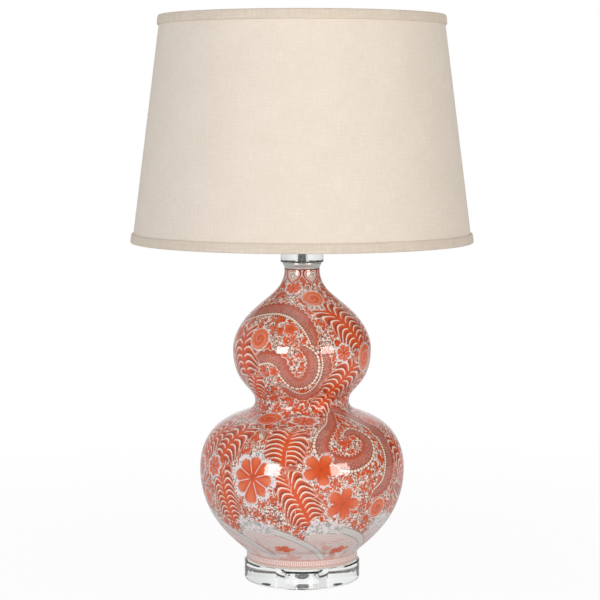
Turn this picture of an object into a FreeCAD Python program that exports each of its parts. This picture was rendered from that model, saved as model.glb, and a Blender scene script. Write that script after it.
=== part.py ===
import FreeCAD, Part
import math
import os

# Table lamp: a painted double gourd of porcelain on a clear acrylic disc, with a tapered drum shade.
# Millimetres, Z up. The origin is the middle of the footprint. The front faces -Y, the lead leaves at +Y.
# Everything is threaded on one steel pipe, from the nut in the disc's recess to the lamp holder.

# Clearances that the pieces share
LOOSE_FIT = 0.3        # radial gap round the pipe, and between sleeves that slide over each other
TURNING_FIT = 0.08     # radial gap round a pin that turns in its hole
LIFT_GAP = 0.2         # between the faces of pieces that lift or turn apart

# Acrylic disc and what is fixed in it
DISC_R = 69.0
DISC_T = 24.0
DISC_TOP_BEVEL = 1.5
DISC_FOOT_ROUND = 4.0
RECESS_R = 21.0
RECESS_DEPTH = 12.0
BUMPER_R = 6.0
BUMPER_T = 2.5
BUMPER_PROUD = 0.5
BUMPER_CIRCLE_R = 54.0
BUMPER_COUNT = 4
OUTLET_BORE_R = 3.1
OUTLET_WALL = 1.0
OUTLET_LENGTH = 15.0
OUTLET_RISE = 7.0      # height of the outlet's axis over the disc's underside
FLANGE_R = 6.0
FLANGE_T = 1.5

# Steel pipe and the hardware in the recess
PIPE_R = 5.0
PIPE_BORE_R = 3.2
PIPE_BELOW_NUT = 1.5
WASHER_R = 16.0
WASHER_T = 1.6
SPRING_WASHER_R = 8.6
SPRING_WASHER_T = 2.0
SPRING_WASHER_SPLIT = 1.2
NUT_FLATS = 15.0
NUT_T = 4.5

# Porcelain gourd: radii and heights over its own foot
FOOT_R = 66.5
FOOT_BAND_H = 8.6
FOOT_RING_W = 8.0
FOOT_RING_H = 5.0
FOOT_EDGE = 0.8
FLOOR_T = 6.0
FLOOR_HOLE_R = 9.0
WALL = 5.5
BELLY_R = 122.0
BELLY_Z = 110.5
WAIST_R = 56.0
WAIST_Z = 190.8
BULB_R = 82.2
BULB_Z = 252.5
NECK_R = 21.0
GOURD_H = 349.0
GASKET_T = 0.8
GASKET_INSET = 1.5
FOOT_BUSH_R = 14.0

# How full each swelling is: the reach of its curve handles, up or down from the widest or narrowest place
FOOT_REACH = 8.5
BELLY_REACH_DOWN = 68.3
BELLY_REACH_UP = 43.5
WAIST_REACH_DOWN = 20.9
WAIST_REACH_UP = 16.6
BULB_REACH_DOWN = 42.9
BULB_REACH_UP = 33.7
NECK_REACH = 34.0
LOWER_SHOULDER = (92.8, 182.2)
UPPER_SHOULDER = (48.9, 315.4)

# Neck: metal cap, acrylic spacer and the ring on top of it
NECK_GASKET_T = 0.5
CAP_TOP_R = 23.0
CAP_H = 6.7
CAP_LIP = 1.2
CAP_SPIGOT_WALL = 2.4
CAP_FLARE_START = 3.4  # reach of the flare's curve under the lip, by the porcelain and by the lip
CAP_FLARE_END = 1.7
CAP_SPIGOT_H = 8.0
SPACER_R = 25.6
SPACER_H = 45.0
SPACER_BEVEL = 1.0
CHECK_RING_R = 17.0
CHECK_RING_H = 3.0
CHECK_RING_STEP = 1.2
SEAT_NUT_R = 9.5
SEAT_NUT_H = 4.0

# Harp and the saddle that it stands in
SADDLE_T = 2.0
SADDLE_DEPTH = 14.0
TONGUE_T = 1.5
TONGUE_W = 4.2
TONGUE_H = 15.0
HARP_H = 215.9         # from the saddle's underside to the seat of the shade
HARP_FOOT_X = 34.0
HARP_WIRE_R = 1.9
HARP_LEG = 34.0
HARP_FLARE_DEG = 25.0
HARP_FLARE_R = 60.0
HARP_FLARE_RUN = 20.0
FERRULE_R = 4.7
FERRULE_WALL = 0.9
FERRULE_H = 14.0
COLLAR_R = 5.0
COLLAR_BELOW = 4.0
COLLAR_ABOVE = 5.0
STUD_SEAT_R = 8.0
STUD_SEAT_T = 2.5
STUD_R = 3.0
STUD_H = 14.0
PIVOT_R = 2.0
PIVOT_LENGTH = 6.0

# Lamp holder
HOLDER_HUB_R = 8.0
HOLDER_HUB_H = 4.0
HOLDER_SWELL_H = 9.0
HOLDER_CAP_H = 16.0
HOLDER_SKIN = 0.7
SHELL_R = 15.7
SHELL_H = 44.0
SHELL_LAP = 6.0
SLEEVE_T = 0.6
CORE_H = 20.0
PIPE_IN_HOLDER = 6.0
CORE_LIFT = 9.0        # from the holder's underside to the core
SCREW_SHELL_T = 0.5
SCREW_SHELL_H = 25.0
CONTACT_R = 4.5
CONTACT_T = 1.2
TERMINAL_R = 2.8
TERMINAL_T = 2.4
TERMINAL_POCKET_W = 8.4
TERMINAL_SLOT_W = 0.7
TERMINAL_SLOT_DEPTH = 1.0
KEY_RISE = 12.0        # height of the key's shaft over the core's underside
KEY_SHAFT_R = 1.8
KEY_SHAFT_LENGTH = 20.0
KEY_W = 15.0
KEY_T = 3.0
KEY_LENGTH = 11.0
KEY_BORE_END = 4.6     # how near the axis the key's hole in the core comes

# Light bulb
CAP_SHELL_R = 13.0
CAP_SHELL_H = 20.0
CAP_CONE_H = 5.0
CAP_SKIN = 0.6
TIP_R = 4.2
TIP_T = 1.2
GLASS_R = 30.0
GLASS_H = 86.0
GLASS_NECK_R = 12.0
GLASS_T = 1.0

# Shade: outer radii of the cloth cone, and the hems that stand proud of it
SHADE_TOP_R = 166.6
SHADE_BOTTOM_R = 200.7
SHADE_H = 266.4
SHADE_DROP = 20.5      # from the shade's top plane down to the spider's washer
LINER_T = 1.0
CLOTH_T = 0.8
HEM_H = 11.5
HEM_PROUD = 2.5
HEM_END = 1.5
HEM_LIP_H = 7.0
HEM_LIP_T = 0.9
RING_WIRE_R = 1.5
SEAM_W = 12.0
SEAM_T = 0.6
SPIDER_WASHER_R = 15.0
SPIDER_HOLE_R = 4.8
SPIDER_WASHER_T = 1.6
ARM_WIRE_R = 1.6
ARM_COUNT = 3
ARM_FIRST_DEG = 90.0
ARM_BEND_R = 9.0
ARM_LAP = 3.2          # how far each arm runs over the washer that it is welded to
ARM_RISE_RUN = 12.0    # how far in from the ring each arm starts to rise

# Finial
FINIAL_BASE_R = 6.5
FINIAL_BASE_H = 3.0
FINIAL_WALL = 0.8
FINIAL_KNOB_R = 6.0
FINIAL_H = 26.0

# Heights of the stack, from the table up
DISC_Z = BUMPER_PROUD
DISC_TOP = DISC_Z + DISC_T
GOURD_Z = DISC_TOP + GASKET_T
CAP_Z = GOURD_Z + GOURD_H + NECK_GASKET_T
SPACER_Z = CAP_Z + CAP_H
CHECK_RING_Z = SPACER_Z + SPACER_H
SEAT_NUT_Z = CHECK_RING_Z + CHECK_RING_H
SADDLE_Z = SEAT_NUT_Z + SEAT_NUT_H
HOLDER_Z = SADDLE_Z + SADDLE_T
CORE_Z = HOLDER_Z + CORE_LIFT
CORE_TOP = CORE_Z + CORE_H
CONTACT_TOP = CORE_TOP + CONTACT_T
LAMP_Z = CONTACT_TOP + LIFT_GAP
SEAT_Z = SADDLE_Z + HARP_H
SPIDER_Z = SEAT_Z + LIFT_GAP
SHADE_TOP = SPIDER_Z + SPIDER_WASHER_T + SHADE_DROP
SHADE_Z = SHADE_TOP - SHADE_H
FINIAL_Z = SPIDER_Z + SPIDER_WASHER_T + LIFT_GAP

PIPE_HOLE_R = PIPE_R + LOOSE_FIT
RECESS_CEILING = DISC_Z + RECESS_DEPTH
PIPE_Z = RECESS_CEILING - WASHER_T - SPRING_WASHER_T - NUT_T - PIPE_BELOW_NUT
PIPE_TOP = HOLDER_Z + PIPE_IN_HOLDER
CORE_R = SHELL_R - HOLDER_SKIN - SLEEVE_T - LOOSE_FIT * 2

Z_AXIS = FreeCAD.Vector(0, 0, 1)
ORIGIN = FreeCAD.Vector(0, 0, 0)


def at(radius, height):
    """A point of a turned outline, in the XZ plane."""
    return FreeCAD.Vector(radius, 0, height)


def line(start, end):
    return Part.LineSegment(at(*start), at(*end)).toShape()


def arc(centre, radius, start_deg, end_deg):
    """An arc of an outline. 0 degrees points away from the axis and 90 degrees points up."""
    points = []
    for degrees in (start_deg, (start_deg + end_deg) / 2, end_deg):
        turn = math.radians(degrees)
        points.append(at(centre[0] + radius * math.cos(turn), centre[1] + radius * math.sin(turn)))
    return Part.Arc(*points).toShape()


def curve(*poles):
    """A smooth stretch of an outline that leaves its first pole and meets its last one."""
    bezier = Part.BezierCurve()
    bezier.setPoles([at(*pole) for pole in poles])
    return bezier.toShape()


def turned(*edges):
    """A solid turned about Z from a closed outline of edges."""
    face = Part.Face(Part.Wire(edges))
    return face.revolve(ORIGIN, Z_AXIS, 360)


def turned_corners(*corners, degrees=360):
    """A solid turned about Z from an outline of straight runs between corners."""
    points = [at(*corner) for corner in corners]
    face = Part.Face(Part.makePolygon(points + points[:1]))
    return face.revolve(ORIGIN, Z_AXIS, degrees)


def tube(outer_r, inner_r, low, high):
    return turned_corners((inner_r, low), (outer_r, low), (outer_r, high), (inner_r, high))


def cylinder(radius, low, high):
    return Part.makeCylinder(radius, high - low, FreeCAD.Vector(0, 0, low))


def spun(shape, degrees):
    """A copy turned about the lamp's axis."""
    copy = shape.copy()
    copy.rotate(ORIGIN, Z_AXIS, degrees)
    return copy


def rod_along_y(radius, near_y, far_y, height):
    """A round bar that points along +Y."""
    start = FreeCAD.Vector(0, near_y, height)
    return Part.makeCylinder(radius, far_y - near_y, start, FreeCAD.Vector(0, 1, 0))


def hexagon(across_flats, hole_r, low, high):
    corner_r = across_flats / math.sqrt(3)
    corners = []
    for side in range(7):
        turn = math.radians(60 * side)
        corners.append(FreeCAD.Vector(corner_r * math.cos(turn), corner_r * math.sin(turn), low))
    block = Part.Face(Part.makePolygon(corners)).extrude(FreeCAD.Vector(0, 0, high - low))
    return block.cut(cylinder(hole_r, low - 1, high + 1))


# Base ---------------------------------------------------------------------------------------------------

def base_disc():
    """Cast acrylic disc with a recess for the nut, a way out for the lead and pockets for the bumpers."""
    low = DISC_Z
    round_z = low + DISC_FOOT_ROUND
    round_r = DISC_R - DISC_FOOT_ROUND
    bevel_r = DISC_R - DISC_TOP_BEVEL
    disc = turned(
        line((RECESS_R, low), (round_r, low)),
        arc((round_r, round_z), DISC_FOOT_ROUND, -90, 0),
        line((DISC_R, round_z), (DISC_R, DISC_TOP - DISC_TOP_BEVEL)),
        line((DISC_R, DISC_TOP - DISC_TOP_BEVEL), (bevel_r, DISC_TOP)),
        line((bevel_r, DISC_TOP), (PIPE_HOLE_R, DISC_TOP)),
        line((PIPE_HOLE_R, DISC_TOP), (PIPE_HOLE_R, RECESS_CEILING)),
        line((PIPE_HOLE_R, RECESS_CEILING), (RECESS_R, RECESS_CEILING)),
        line((RECESS_R, RECESS_CEILING), (RECESS_R, low)),
    )
    outlet_z = low + OUTLET_RISE
    hole_r = OUTLET_BORE_R + OUTLET_WALL + LOOSE_FIT
    disc = disc.cut(rod_along_y(hole_r, RECESS_R / 2, DISC_R + 1, outlet_z))
    disc = disc.cut(rod_along_y(FLANGE_R + LOOSE_FIT, DISC_R - FLANGE_T / 2, DISC_R + 1, outlet_z))
    for pocket in bumpers(BUMPER_R + LOOSE_FIT, low - 1, BUMPER_T):
        disc = disc.cut(pocket)
    return disc


def bumpers(radius, low, high):
    """The soft feet, evenly spaced and clear of the outlet."""
    foot = Part.makeCylinder(radius, high - low, FreeCAD.Vector(BUMPER_CIRCLE_R, 0, low))
    step = 360 / BUMPER_COUNT
    return [spun(foot, step * (i + 0.5)) for i in range(BUMPER_COUNT)]


def bumper_feet():
    return Part.makeCompound(bumpers(BUMPER_R, 0, BUMPER_T))


def outlet_bush():
    """Flanged bush that lines the way out for the lead."""
    outlet_z = DISC_Z + OUTLET_RISE
    flange_y = DISC_R - FLANGE_T / 2
    outer_r = OUTLET_BORE_R + OUTLET_WALL
    end_y = flange_y + FLANGE_T
    bush = rod_along_y(outer_r, end_y - OUTLET_LENGTH, end_y, outlet_z)
    bush = bush.fuse(rod_along_y(FLANGE_R, flange_y, end_y, outlet_z))
    return bush.cut(rod_along_y(OUTLET_BORE_R, 0, DISC_R * 2, outlet_z)).removeSplitter()


def recess_washer():
    return tube(WASHER_R, PIPE_HOLE_R, RECESS_CEILING - WASHER_T, RECESS_CEILING)


def spring_washer():
    high = RECESS_CEILING - WASHER_T
    low = high - SPRING_WASHER_T
    ring = tube(SPRING_WASHER_R, PIPE_HOLE_R, low, high)
    split = Part.makeBox(SPRING_WASHER_R * 2, SPRING_WASHER_SPLIT, SPRING_WASHER_T * 2)
    split.translate(FreeCAD.Vector(0, -SPRING_WASHER_SPLIT / 2, low - SPRING_WASHER_T / 2))
    return ring.cut(split)


def recess_nut():
    high = RECESS_CEILING - WASHER_T - SPRING_WASHER_T
    return hexagon(NUT_FLATS, PIPE_R + TURNING_FIT, high - NUT_T, high)


def threaded_pipe():
    """Steel pipe that holds the whole stack together. The lead runs up inside it."""
    return tube(PIPE_R, PIPE_BORE_R, PIPE_Z, PIPE_TOP)


# Gourd --------------------------------------------------------------------------------------------------

def foot_gasket():
    inner_r = FOOT_R - FOOT_RING_W + GASKET_INSET
    return tube(FOOT_R - GASKET_INSET, inner_r, DISC_TOP, GOURD_Z)


def foot_bush():
    """Nylon bush that centres the gourd's floor on the pipe."""
    flange_top = GOURD_Z + FOOT_RING_H - LIFT_GAP
    spigot_top = GOURD_Z + FOOT_RING_H + FLOOR_T
    spigot_r = FLOOR_HOLE_R - LOOSE_FIT
    return turned_corners(
        (PIPE_HOLE_R, DISC_TOP),
        (FOOT_BUSH_R, DISC_TOP),
        (FOOT_BUSH_R, flange_top),
        (spigot_r, flange_top),
        (spigot_r, spigot_top),
        (PIPE_HOLE_R, spigot_top),
    )


def gourd_side(inset, start_z):
    """The double curve from the foot to the neck, moved in by inset.

    It runs upright at each widest and narrowest place.
    """
    foot_r = FOOT_R - inset
    belly_r = BELLY_R - inset
    waist_r = WAIST_R - inset
    bulb_r = BULB_R - inset
    neck_r = NECK_R - inset
    foot = (foot_r, GOURD_Z + start_z)
    belly = (belly_r, GOURD_Z + BELLY_Z)
    waist = (waist_r, GOURD_Z + WAIST_Z)
    bulb = (bulb_r, GOURD_Z + BULB_Z)
    neck = (neck_r, GOURD_Z + GOURD_H)
    lower_shoulder = (LOWER_SHOULDER[0] - inset, GOURD_Z + LOWER_SHOULDER[1] - inset)
    upper_shoulder = (UPPER_SHOULDER[0] - inset, GOURD_Z + UPPER_SHOULDER[1] - inset)
    return [
        curve(
            foot,
            (foot_r, GOURD_Z + FOOT_BAND_H + FOOT_REACH + inset),
            (belly_r, belly[1] - BELLY_REACH_DOWN),
            belly,
        ),
        curve(
            belly,
            (belly_r, belly[1] + BELLY_REACH_UP),
            lower_shoulder,
            (waist_r, waist[1] - WAIST_REACH_DOWN - inset),
            waist,
        ),
        curve(
            waist,
            (waist_r, waist[1] + WAIST_REACH_UP + inset),
            (bulb_r, bulb[1] - BULB_REACH_DOWN),
            bulb,
        ),
        curve(
            bulb,
            (bulb_r, bulb[1] + BULB_REACH_UP),
            upper_shoulder,
            (neck_r, neck[1] - NECK_REACH - inset),
            neck,
        ),
    ]


def gourd_body():
    """Porcelain shell with a turned foot ring and a drilled floor, open at the neck."""
    foot_z = GOURD_Z
    band_z = foot_z + FOOT_BAND_H
    ring_r = FOOT_R - FOOT_RING_W
    under_z = foot_z + FOOT_RING_H
    floor_z = under_z + FLOOR_T
    top_z = foot_z + GOURD_H
    return turned(
        line((FOOT_R - FOOT_EDGE, foot_z), (FOOT_R, foot_z + FOOT_EDGE)),
        line((FOOT_R, foot_z + FOOT_EDGE), (FOOT_R, band_z)),
        *gourd_side(0, FOOT_BAND_H),
        line((NECK_R, top_z), (NECK_R - WALL, top_z)),
        *gourd_side(WALL, floor_z - foot_z)[::-1],
        line((FOOT_R - WALL, floor_z), (FLOOR_HOLE_R, floor_z)),
        line((FLOOR_HOLE_R, floor_z), (FLOOR_HOLE_R, under_z)),
        line((FLOOR_HOLE_R, under_z), (ring_r, under_z)),
        line((ring_r, under_z), (ring_r, foot_z + FOOT_EDGE)),
        line((ring_r, foot_z + FOOT_EDGE), (ring_r + FOOT_EDGE, foot_z)),
        line((ring_r + FOOT_EDGE, foot_z), (FOOT_R - FOOT_EDGE, foot_z)),
    )


def neck_gasket():
    low = GOURD_Z + GOURD_H
    return tube(NECK_R - FOOT_EDGE, NECK_R - WALL + FOOT_EDGE, low, low + NECK_GASKET_T)


# Neck ---------------------------------------------------------------------------------------------------

def vase_cap():
    """Turned metal cap that flares out from the porcelain, with a spigot that centres it in the neck."""
    top_z = CAP_Z + CAP_H
    lip_z = top_z - CAP_LIP
    spigot_r = NECK_R - WALL - LOOSE_FIT
    spigot_z = CAP_Z - NECK_GASKET_T - CAP_SPIGOT_H
    bore_r = spigot_r - CAP_SPIGOT_WALL
    return turned(
        line((PIPE_HOLE_R, CAP_Z), (bore_r, CAP_Z)),
        line((bore_r, CAP_Z), (bore_r, spigot_z)),
        line((bore_r, spigot_z), (spigot_r, spigot_z)),
        line((spigot_r, spigot_z), (spigot_r, CAP_Z)),
        line((spigot_r, CAP_Z), (NECK_R, CAP_Z)),
        curve(
            (NECK_R, CAP_Z),
            (NECK_R, lip_z - CAP_FLARE_START),
            (CAP_TOP_R, lip_z - CAP_FLARE_END),
            (CAP_TOP_R, lip_z),
        ),
        line((CAP_TOP_R, lip_z), (CAP_TOP_R, top_z)),
        line((CAP_TOP_R, top_z), (PIPE_HOLE_R, top_z)),
        line((PIPE_HOLE_R, top_z), (PIPE_HOLE_R, CAP_Z)),
    )


def neck_spacer():
    """Clear acrylic collar round the pipe."""
    top_z = SPACER_Z + SPACER_H
    bevel_r = SPACER_R - SPACER_BEVEL
    return turned_corners(
        (PIPE_HOLE_R, SPACER_Z),
        (bevel_r, SPACER_Z),
        (SPACER_R, SPACER_Z + SPACER_BEVEL),
        (SPACER_R, top_z - SPACER_BEVEL),
        (bevel_r, top_z),
        (PIPE_HOLE_R, top_z),
    )


def check_ring():
    top_z = CHECK_RING_Z + CHECK_RING_H
    step_r = CHECK_RING_R - CHECK_RING_STEP
    return turned_corners(
        (PIPE_HOLE_R, CHECK_RING_Z),
        (CHECK_RING_R, CHECK_RING_Z),
        (CHECK_RING_R, top_z - CHECK_RING_STEP),
        (step_r, top_z),
        (PIPE_HOLE_R, top_z),
    )


def seat_nut():
    """Round nut that clamps the stack."""
    return tube(SEAT_NUT_R, PIPE_R + TURNING_FIT, SEAT_NUT_Z, SEAT_NUT_Z + SEAT_NUT_H)


# Harp ---------------------------------------------------------------------------------------------------

FERRULE_BORE_R = FERRULE_R - FERRULE_WALL
TONGUE_X = HARP_FOOT_X + HARP_WIRE_R + LIFT_GAP
FERRULE_X = (HARP_FOOT_X - HARP_WIRE_R + TONGUE_X + TONGUE_T) / 2
HARP_WIRE_Z = SADDLE_Z + SADDLE_T + LIFT_GAP
HARP_TOP = SEAT_Z - STUD_SEAT_T - LIFT_GAP - COLLAR_ABOVE


def harp_saddle():
    """Flat plate under the lamp holder with an upright tongue at each end."""
    half = TONGUE_X + TONGUE_T
    plate = Part.makeBox(half * 2, SADDLE_DEPTH, SADDLE_T)
    plate.translate(FreeCAD.Vector(-half, -SADDLE_DEPTH / 2, SADDLE_Z))
    plate = plate.cut(cylinder(PIPE_HOLE_R, SADDLE_Z - 1, SADDLE_Z + SADDLE_T + 1))
    for side_x in (TONGUE_X, -half):
        tongue = Part.makeBox(TONGUE_T, TONGUE_W, SADDLE_T + TONGUE_H)
        tongue.translate(FreeCAD.Vector(side_x, -TONGUE_W / 2, SADDLE_Z))
        plate = plate.fuse(tongue)
    return plate.removeSplitter()


def harp_side():
    """The right half of the harp's centre line.

    From the foot up: leg, flare, straight run, long side bow and the bow over the top.
    """
    flare = math.radians(HARP_FLARE_DEG)
    leg_top = (HARP_FOOT_X, HARP_WIRE_Z + HARP_LEG)
    flare_end = (
        leg_top[0] + HARP_FLARE_R * (1 - math.cos(flare)),
        leg_top[1] + HARP_FLARE_R * math.sin(flare),
    )
    bow_start = (
        flare_end[0] + HARP_FLARE_RUN * math.sin(flare),
        flare_end[1] + HARP_FLARE_RUN * math.cos(flare),
    )
    top_r = bow_start[0] / math.cos(flare)
    bow_end_z = HARP_TOP - top_r * (1 - math.sin(flare))
    bow_r = (bow_end_z - bow_start[1]) / (2 * math.sin(flare))
    bow_centre = (bow_start[0] - bow_r * math.cos(flare), (bow_start[1] + bow_end_z) / 2)
    return [
        line((HARP_FOOT_X, HARP_WIRE_Z), leg_top),
        arc((leg_top[0] + HARP_FLARE_R, leg_top[1]), HARP_FLARE_R, 180, 180 - HARP_FLARE_DEG),
        line(flare_end, bow_start),
        arc(bow_centre, bow_r, -HARP_FLARE_DEG, HARP_FLARE_DEG),
        arc((0, HARP_TOP - top_r), top_r, HARP_FLARE_DEG, 90),
    ]


def harp_loop():
    """Bent wire that carries the shade, with a collar at the top that is drilled for the swivel."""
    right = harp_side()
    left = [edge.mirror(ORIGIN, FreeCAD.Vector(1, 0, 0)) for edge in right]
    path = Part.Wire(Part.sortEdges(right + left)[0])
    start = path.OrderedVertexes[0].Point
    ring = Part.Wire(Part.makeCircle(HARP_WIRE_R, start, Z_AXIS))
    wire = path.makePipeShell([ring], True, True)
    top_z = HARP_TOP + COLLAR_ABOVE
    loop = wire.fuse(cylinder(COLLAR_R, HARP_TOP - COLLAR_BELOW, top_z))
    return loop.cut(cylinder(PIVOT_R + TURNING_FIT, top_z - PIVOT_LENGTH - LIFT_GAP, top_z + 1))


def ferrule(side):
    """Sleeve that slides down over a leg of the harp and its tongue, and locks them."""
    shape = tube(FERRULE_R, FERRULE_BORE_R, HARP_WIRE_Z, HARP_WIRE_Z + FERRULE_H)
    shape.translate(FreeCAD.Vector(side * FERRULE_X, 0, 0))
    return shape


def harp_swivel():
    """Seat and screw stud for the shade, turning on its pivot in the harp's collar."""
    low = SEAT_Z - STUD_SEAT_T
    stud = cylinder(PIVOT_R, low - LIFT_GAP - PIVOT_LENGTH, low)
    stud = stud.fuse(cylinder(STUD_SEAT_R, low, SEAT_Z))
    return stud.fuse(cylinder(STUD_R, SEAT_Z, SEAT_Z + STUD_H)).removeSplitter()


# Lamp holder --------------------------------------------------------------------------------------------

HOLDER_R = SHELL_R + LOOSE_FIT + HOLDER_SKIN
SHELL_Z = HOLDER_Z + HOLDER_CAP_H - SHELL_LAP
SHELL_BORE_R = SHELL_R - HOLDER_SKIN
SLEEVE_R = SHELL_BORE_R - LOOSE_FIT
SCREW_SHELL_R = CAP_SHELL_R + LOOSE_FIT + SCREW_SHELL_T
KEY_Z = CORE_Z + KEY_RISE


def holder_cap():
    """Cup that screws on the pipe and takes the shell."""
    low = HOLDER_Z
    high = low + HOLDER_CAP_H
    inner_r = HOLDER_R - HOLDER_SKIN
    swell_z = low + HOLDER_SWELL_H
    floor_z = swell_z - HOLDER_SKIN
    return turned(
        line((PIPE_R + TURNING_FIT, low), (HOLDER_HUB_R, low)),
        line((HOLDER_HUB_R, low), (HOLDER_HUB_R, low + HOLDER_HUB_H)),
        curve((HOLDER_HUB_R, low + HOLDER_HUB_H), (HOLDER_R, low + HOLDER_HUB_H), (HOLDER_R, swell_z)),
        line((HOLDER_R, swell_z), (HOLDER_R, high)),
        line((HOLDER_R, high), (inner_r, high)),
        line((inner_r, high), (inner_r, floor_z)),
        line((inner_r, floor_z), (HOLDER_HUB_R, floor_z)),
        line((HOLDER_HUB_R, floor_z), (PIPE_R + TURNING_FIT, floor_z)),
        line((PIPE_R + TURNING_FIT, floor_z), (PIPE_R + TURNING_FIT, low)),
    )


def key_way(shape):
    """The shape with a round hole at the front for the key's shaft."""
    return shape.cut(rod_along_y(KEY_SHAFT_R + LOOSE_FIT, -HOLDER_R * 2, -KEY_BORE_END, KEY_Z))


def holder_shell():
    return key_way(tube(SHELL_R, SHELL_BORE_R, SHELL_Z, SHELL_Z + SHELL_H))


def holder_sleeve():
    """Card sleeve that keeps the shell away from the live parts."""
    return key_way(tube(SLEEVE_R, SLEEVE_R - SLEEVE_T, CORE_Z, SHELL_Z + SHELL_H - SLEEVE_T))


def holder_core():
    """Moulded core with the switch inside, and a flat pocket on each side for a terminal screw."""
    core = cylinder(CORE_R, CORE_Z, CORE_TOP)
    core = core.cut(rod_along_y(KEY_SHAFT_R + TURNING_FIT, -CORE_R * 2, -KEY_BORE_END, KEY_Z))
    pocket_x = CORE_R - TERMINAL_T - LOOSE_FIT
    for side in (1, -1):
        pocket = Part.makeBox(CORE_R, TERMINAL_POCKET_W, TERMINAL_POCKET_W)
        pocket.translate(FreeCAD.Vector(pocket_x, -TERMINAL_POCKET_W / 2, KEY_Z - TERMINAL_POCKET_W / 2))
        core = core.cut(spun(pocket, 0 if side > 0 else 180))
    return core


def terminal_screws():
    x = CORE_R - TERMINAL_T - LOOSE_FIT
    head = Part.makeCylinder(TERMINAL_R, TERMINAL_T, FreeCAD.Vector(x, 0, KEY_Z), FreeCAD.Vector(1, 0, 0))
    slot = Part.makeBox(TERMINAL_T, TERMINAL_R * 2, TERMINAL_SLOT_W)
    slot_x = x + TERMINAL_T - TERMINAL_SLOT_DEPTH
    slot.translate(FreeCAD.Vector(slot_x, -TERMINAL_R, KEY_Z - TERMINAL_SLOT_W / 2))
    head = head.cut(slot)
    return Part.makeCompound([head, spun(head, 180)])


def screw_shell():
    """Brass shell that the bulb's cap screws into."""
    return tube(SCREW_SHELL_R, SCREW_SHELL_R - SCREW_SHELL_T, CORE_TOP, CORE_TOP + SCREW_SHELL_H)


def centre_contact():
    return cylinder(CONTACT_R, CORE_TOP, CONTACT_TOP)


def switch_key():
    """Shaft and flat paddle that turn to switch the lamp."""
    shaft_end = -KEY_BORE_END - LIFT_GAP
    paddle_y = shaft_end - KEY_SHAFT_LENGTH
    key = rod_along_y(KEY_SHAFT_R, paddle_y, shaft_end, KEY_Z)
    outline = Part.makeCylinder(KEY_W / 2, KEY_T, FreeCAD.Vector(0, 0, -KEY_T / 2))
    slab = Part.makeBox(KEY_W, KEY_LENGTH, KEY_T)
    slab.translate(FreeCAD.Vector(-KEY_W / 2, -KEY_LENGTH / 2, -KEY_T / 2))
    paddle = outline.common(slab)
    paddle.translate(FreeCAD.Vector(0, paddle_y - KEY_LENGTH / 2 + KEY_T / 2, KEY_Z))
    return key.fuse(paddle).removeSplitter()


# Bulb ---------------------------------------------------------------------------------------------------

LAMP_SHELL_Z = LAMP_Z + CAP_CONE_H
GLASS_Z = LAMP_SHELL_Z + CAP_SHELL_H


def lamp_tip():
    """Contact in the middle of the black cone."""
    return cylinder(TIP_R, LAMP_Z, LAMP_Z + TIP_T)


def lamp_cone():
    inner_r = TIP_R - CAP_SKIN
    return turned_corners(
        (inner_r, LAMP_Z + TIP_T),
        (TIP_R + CAP_SKIN, LAMP_Z + TIP_T),
        (CAP_SHELL_R - CAP_SKIN, LAMP_SHELL_Z),
        (inner_r, LAMP_SHELL_Z),
    )


def lamp_cap():
    return tube(CAP_SHELL_R, CAP_SHELL_R - CAP_SKIN, LAMP_SHELL_Z, GLASS_Z)


def lamp_glass():
    """Pear-shaped glass that stands in the cap."""
    low = LAMP_SHELL_Z + CAP_SHELL_H / 2
    widest = GLASS_Z + GLASS_H - GLASS_R
    return turned(*glass_side(0, low, widest), *glass_ends(low), *glass_side(GLASS_T, low, widest))


def glass_side(inset, low, widest):
    neck_r = GLASS_NECK_R - inset
    wide_r = GLASS_R - inset
    reach = (widest - GLASS_Z) / 2
    return [
        line((neck_r, low), (neck_r, GLASS_Z)),
        curve((neck_r, GLASS_Z), (neck_r, GLASS_Z + reach), (wide_r, widest - reach), (wide_r, widest)),
        arc((0, widest), wide_r, 0, 90),
    ]


def glass_ends(low):
    top = GLASS_Z + GLASS_H
    return [
        line((GLASS_NECK_R, low), (GLASS_NECK_R - GLASS_T, low)),
        line((0, top), (0, top - GLASS_T)),
    ]


# Shade --------------------------------------------------------------------------------------------------

SHADE_SLOPE = (SHADE_BOTTOM_R - SHADE_TOP_R) / SHADE_H


def cone_r(height):
    """Outer radius of the cloth cone at a height."""
    return SHADE_TOP_R + (SHADE_TOP - height) * SHADE_SLOPE


def cone_band(low, high, outer, inner, degrees=360):
    """A band that follows the cone, from inner to outer past the cloth's face."""
    return turned_corners(
        (cone_r(low) + inner, low),
        (cone_r(low) + outer, low),
        (cone_r(high) + outer, high),
        (cone_r(high) + inner, high),
        degrees=degrees,
    )


RING_INSET = CLOTH_T + LINER_T + RING_WIRE_R + LIFT_GAP
LIP_INSET = RING_INSET + RING_WIRE_R + LIFT_GAP
CONE_LOW = SHADE_Z + HEM_END
CONE_HIGH = SHADE_TOP - HEM_END
TOP_RING_Z = CONE_HIGH - RING_WIRE_R - LIFT_GAP
BOTTOM_RING_Z = CONE_LOW + RING_WIRE_R + LIFT_GAP


def shade_liner():
    """Stiff styrene cone that the cloth is laminated to."""
    return cone_band(CONE_LOW, CONE_HIGH, -CLOTH_T, -CLOTH_T - LINER_T)


def shade_cloth():
    return cone_band(CONE_LOW, CONE_HIGH, 0, -CLOTH_T)


def shade_seam():
    """Lapped edge of the cloth, down the back."""
    width_deg = math.degrees(SEAM_W / SHADE_BOTTOM_R)
    lap = cone_band(SHADE_Z + HEM_H, SHADE_TOP - HEM_H, SEAM_T, 0, degrees=width_deg)
    return spun(lap, ARM_FIRST_DEG - width_deg / 2)


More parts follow.
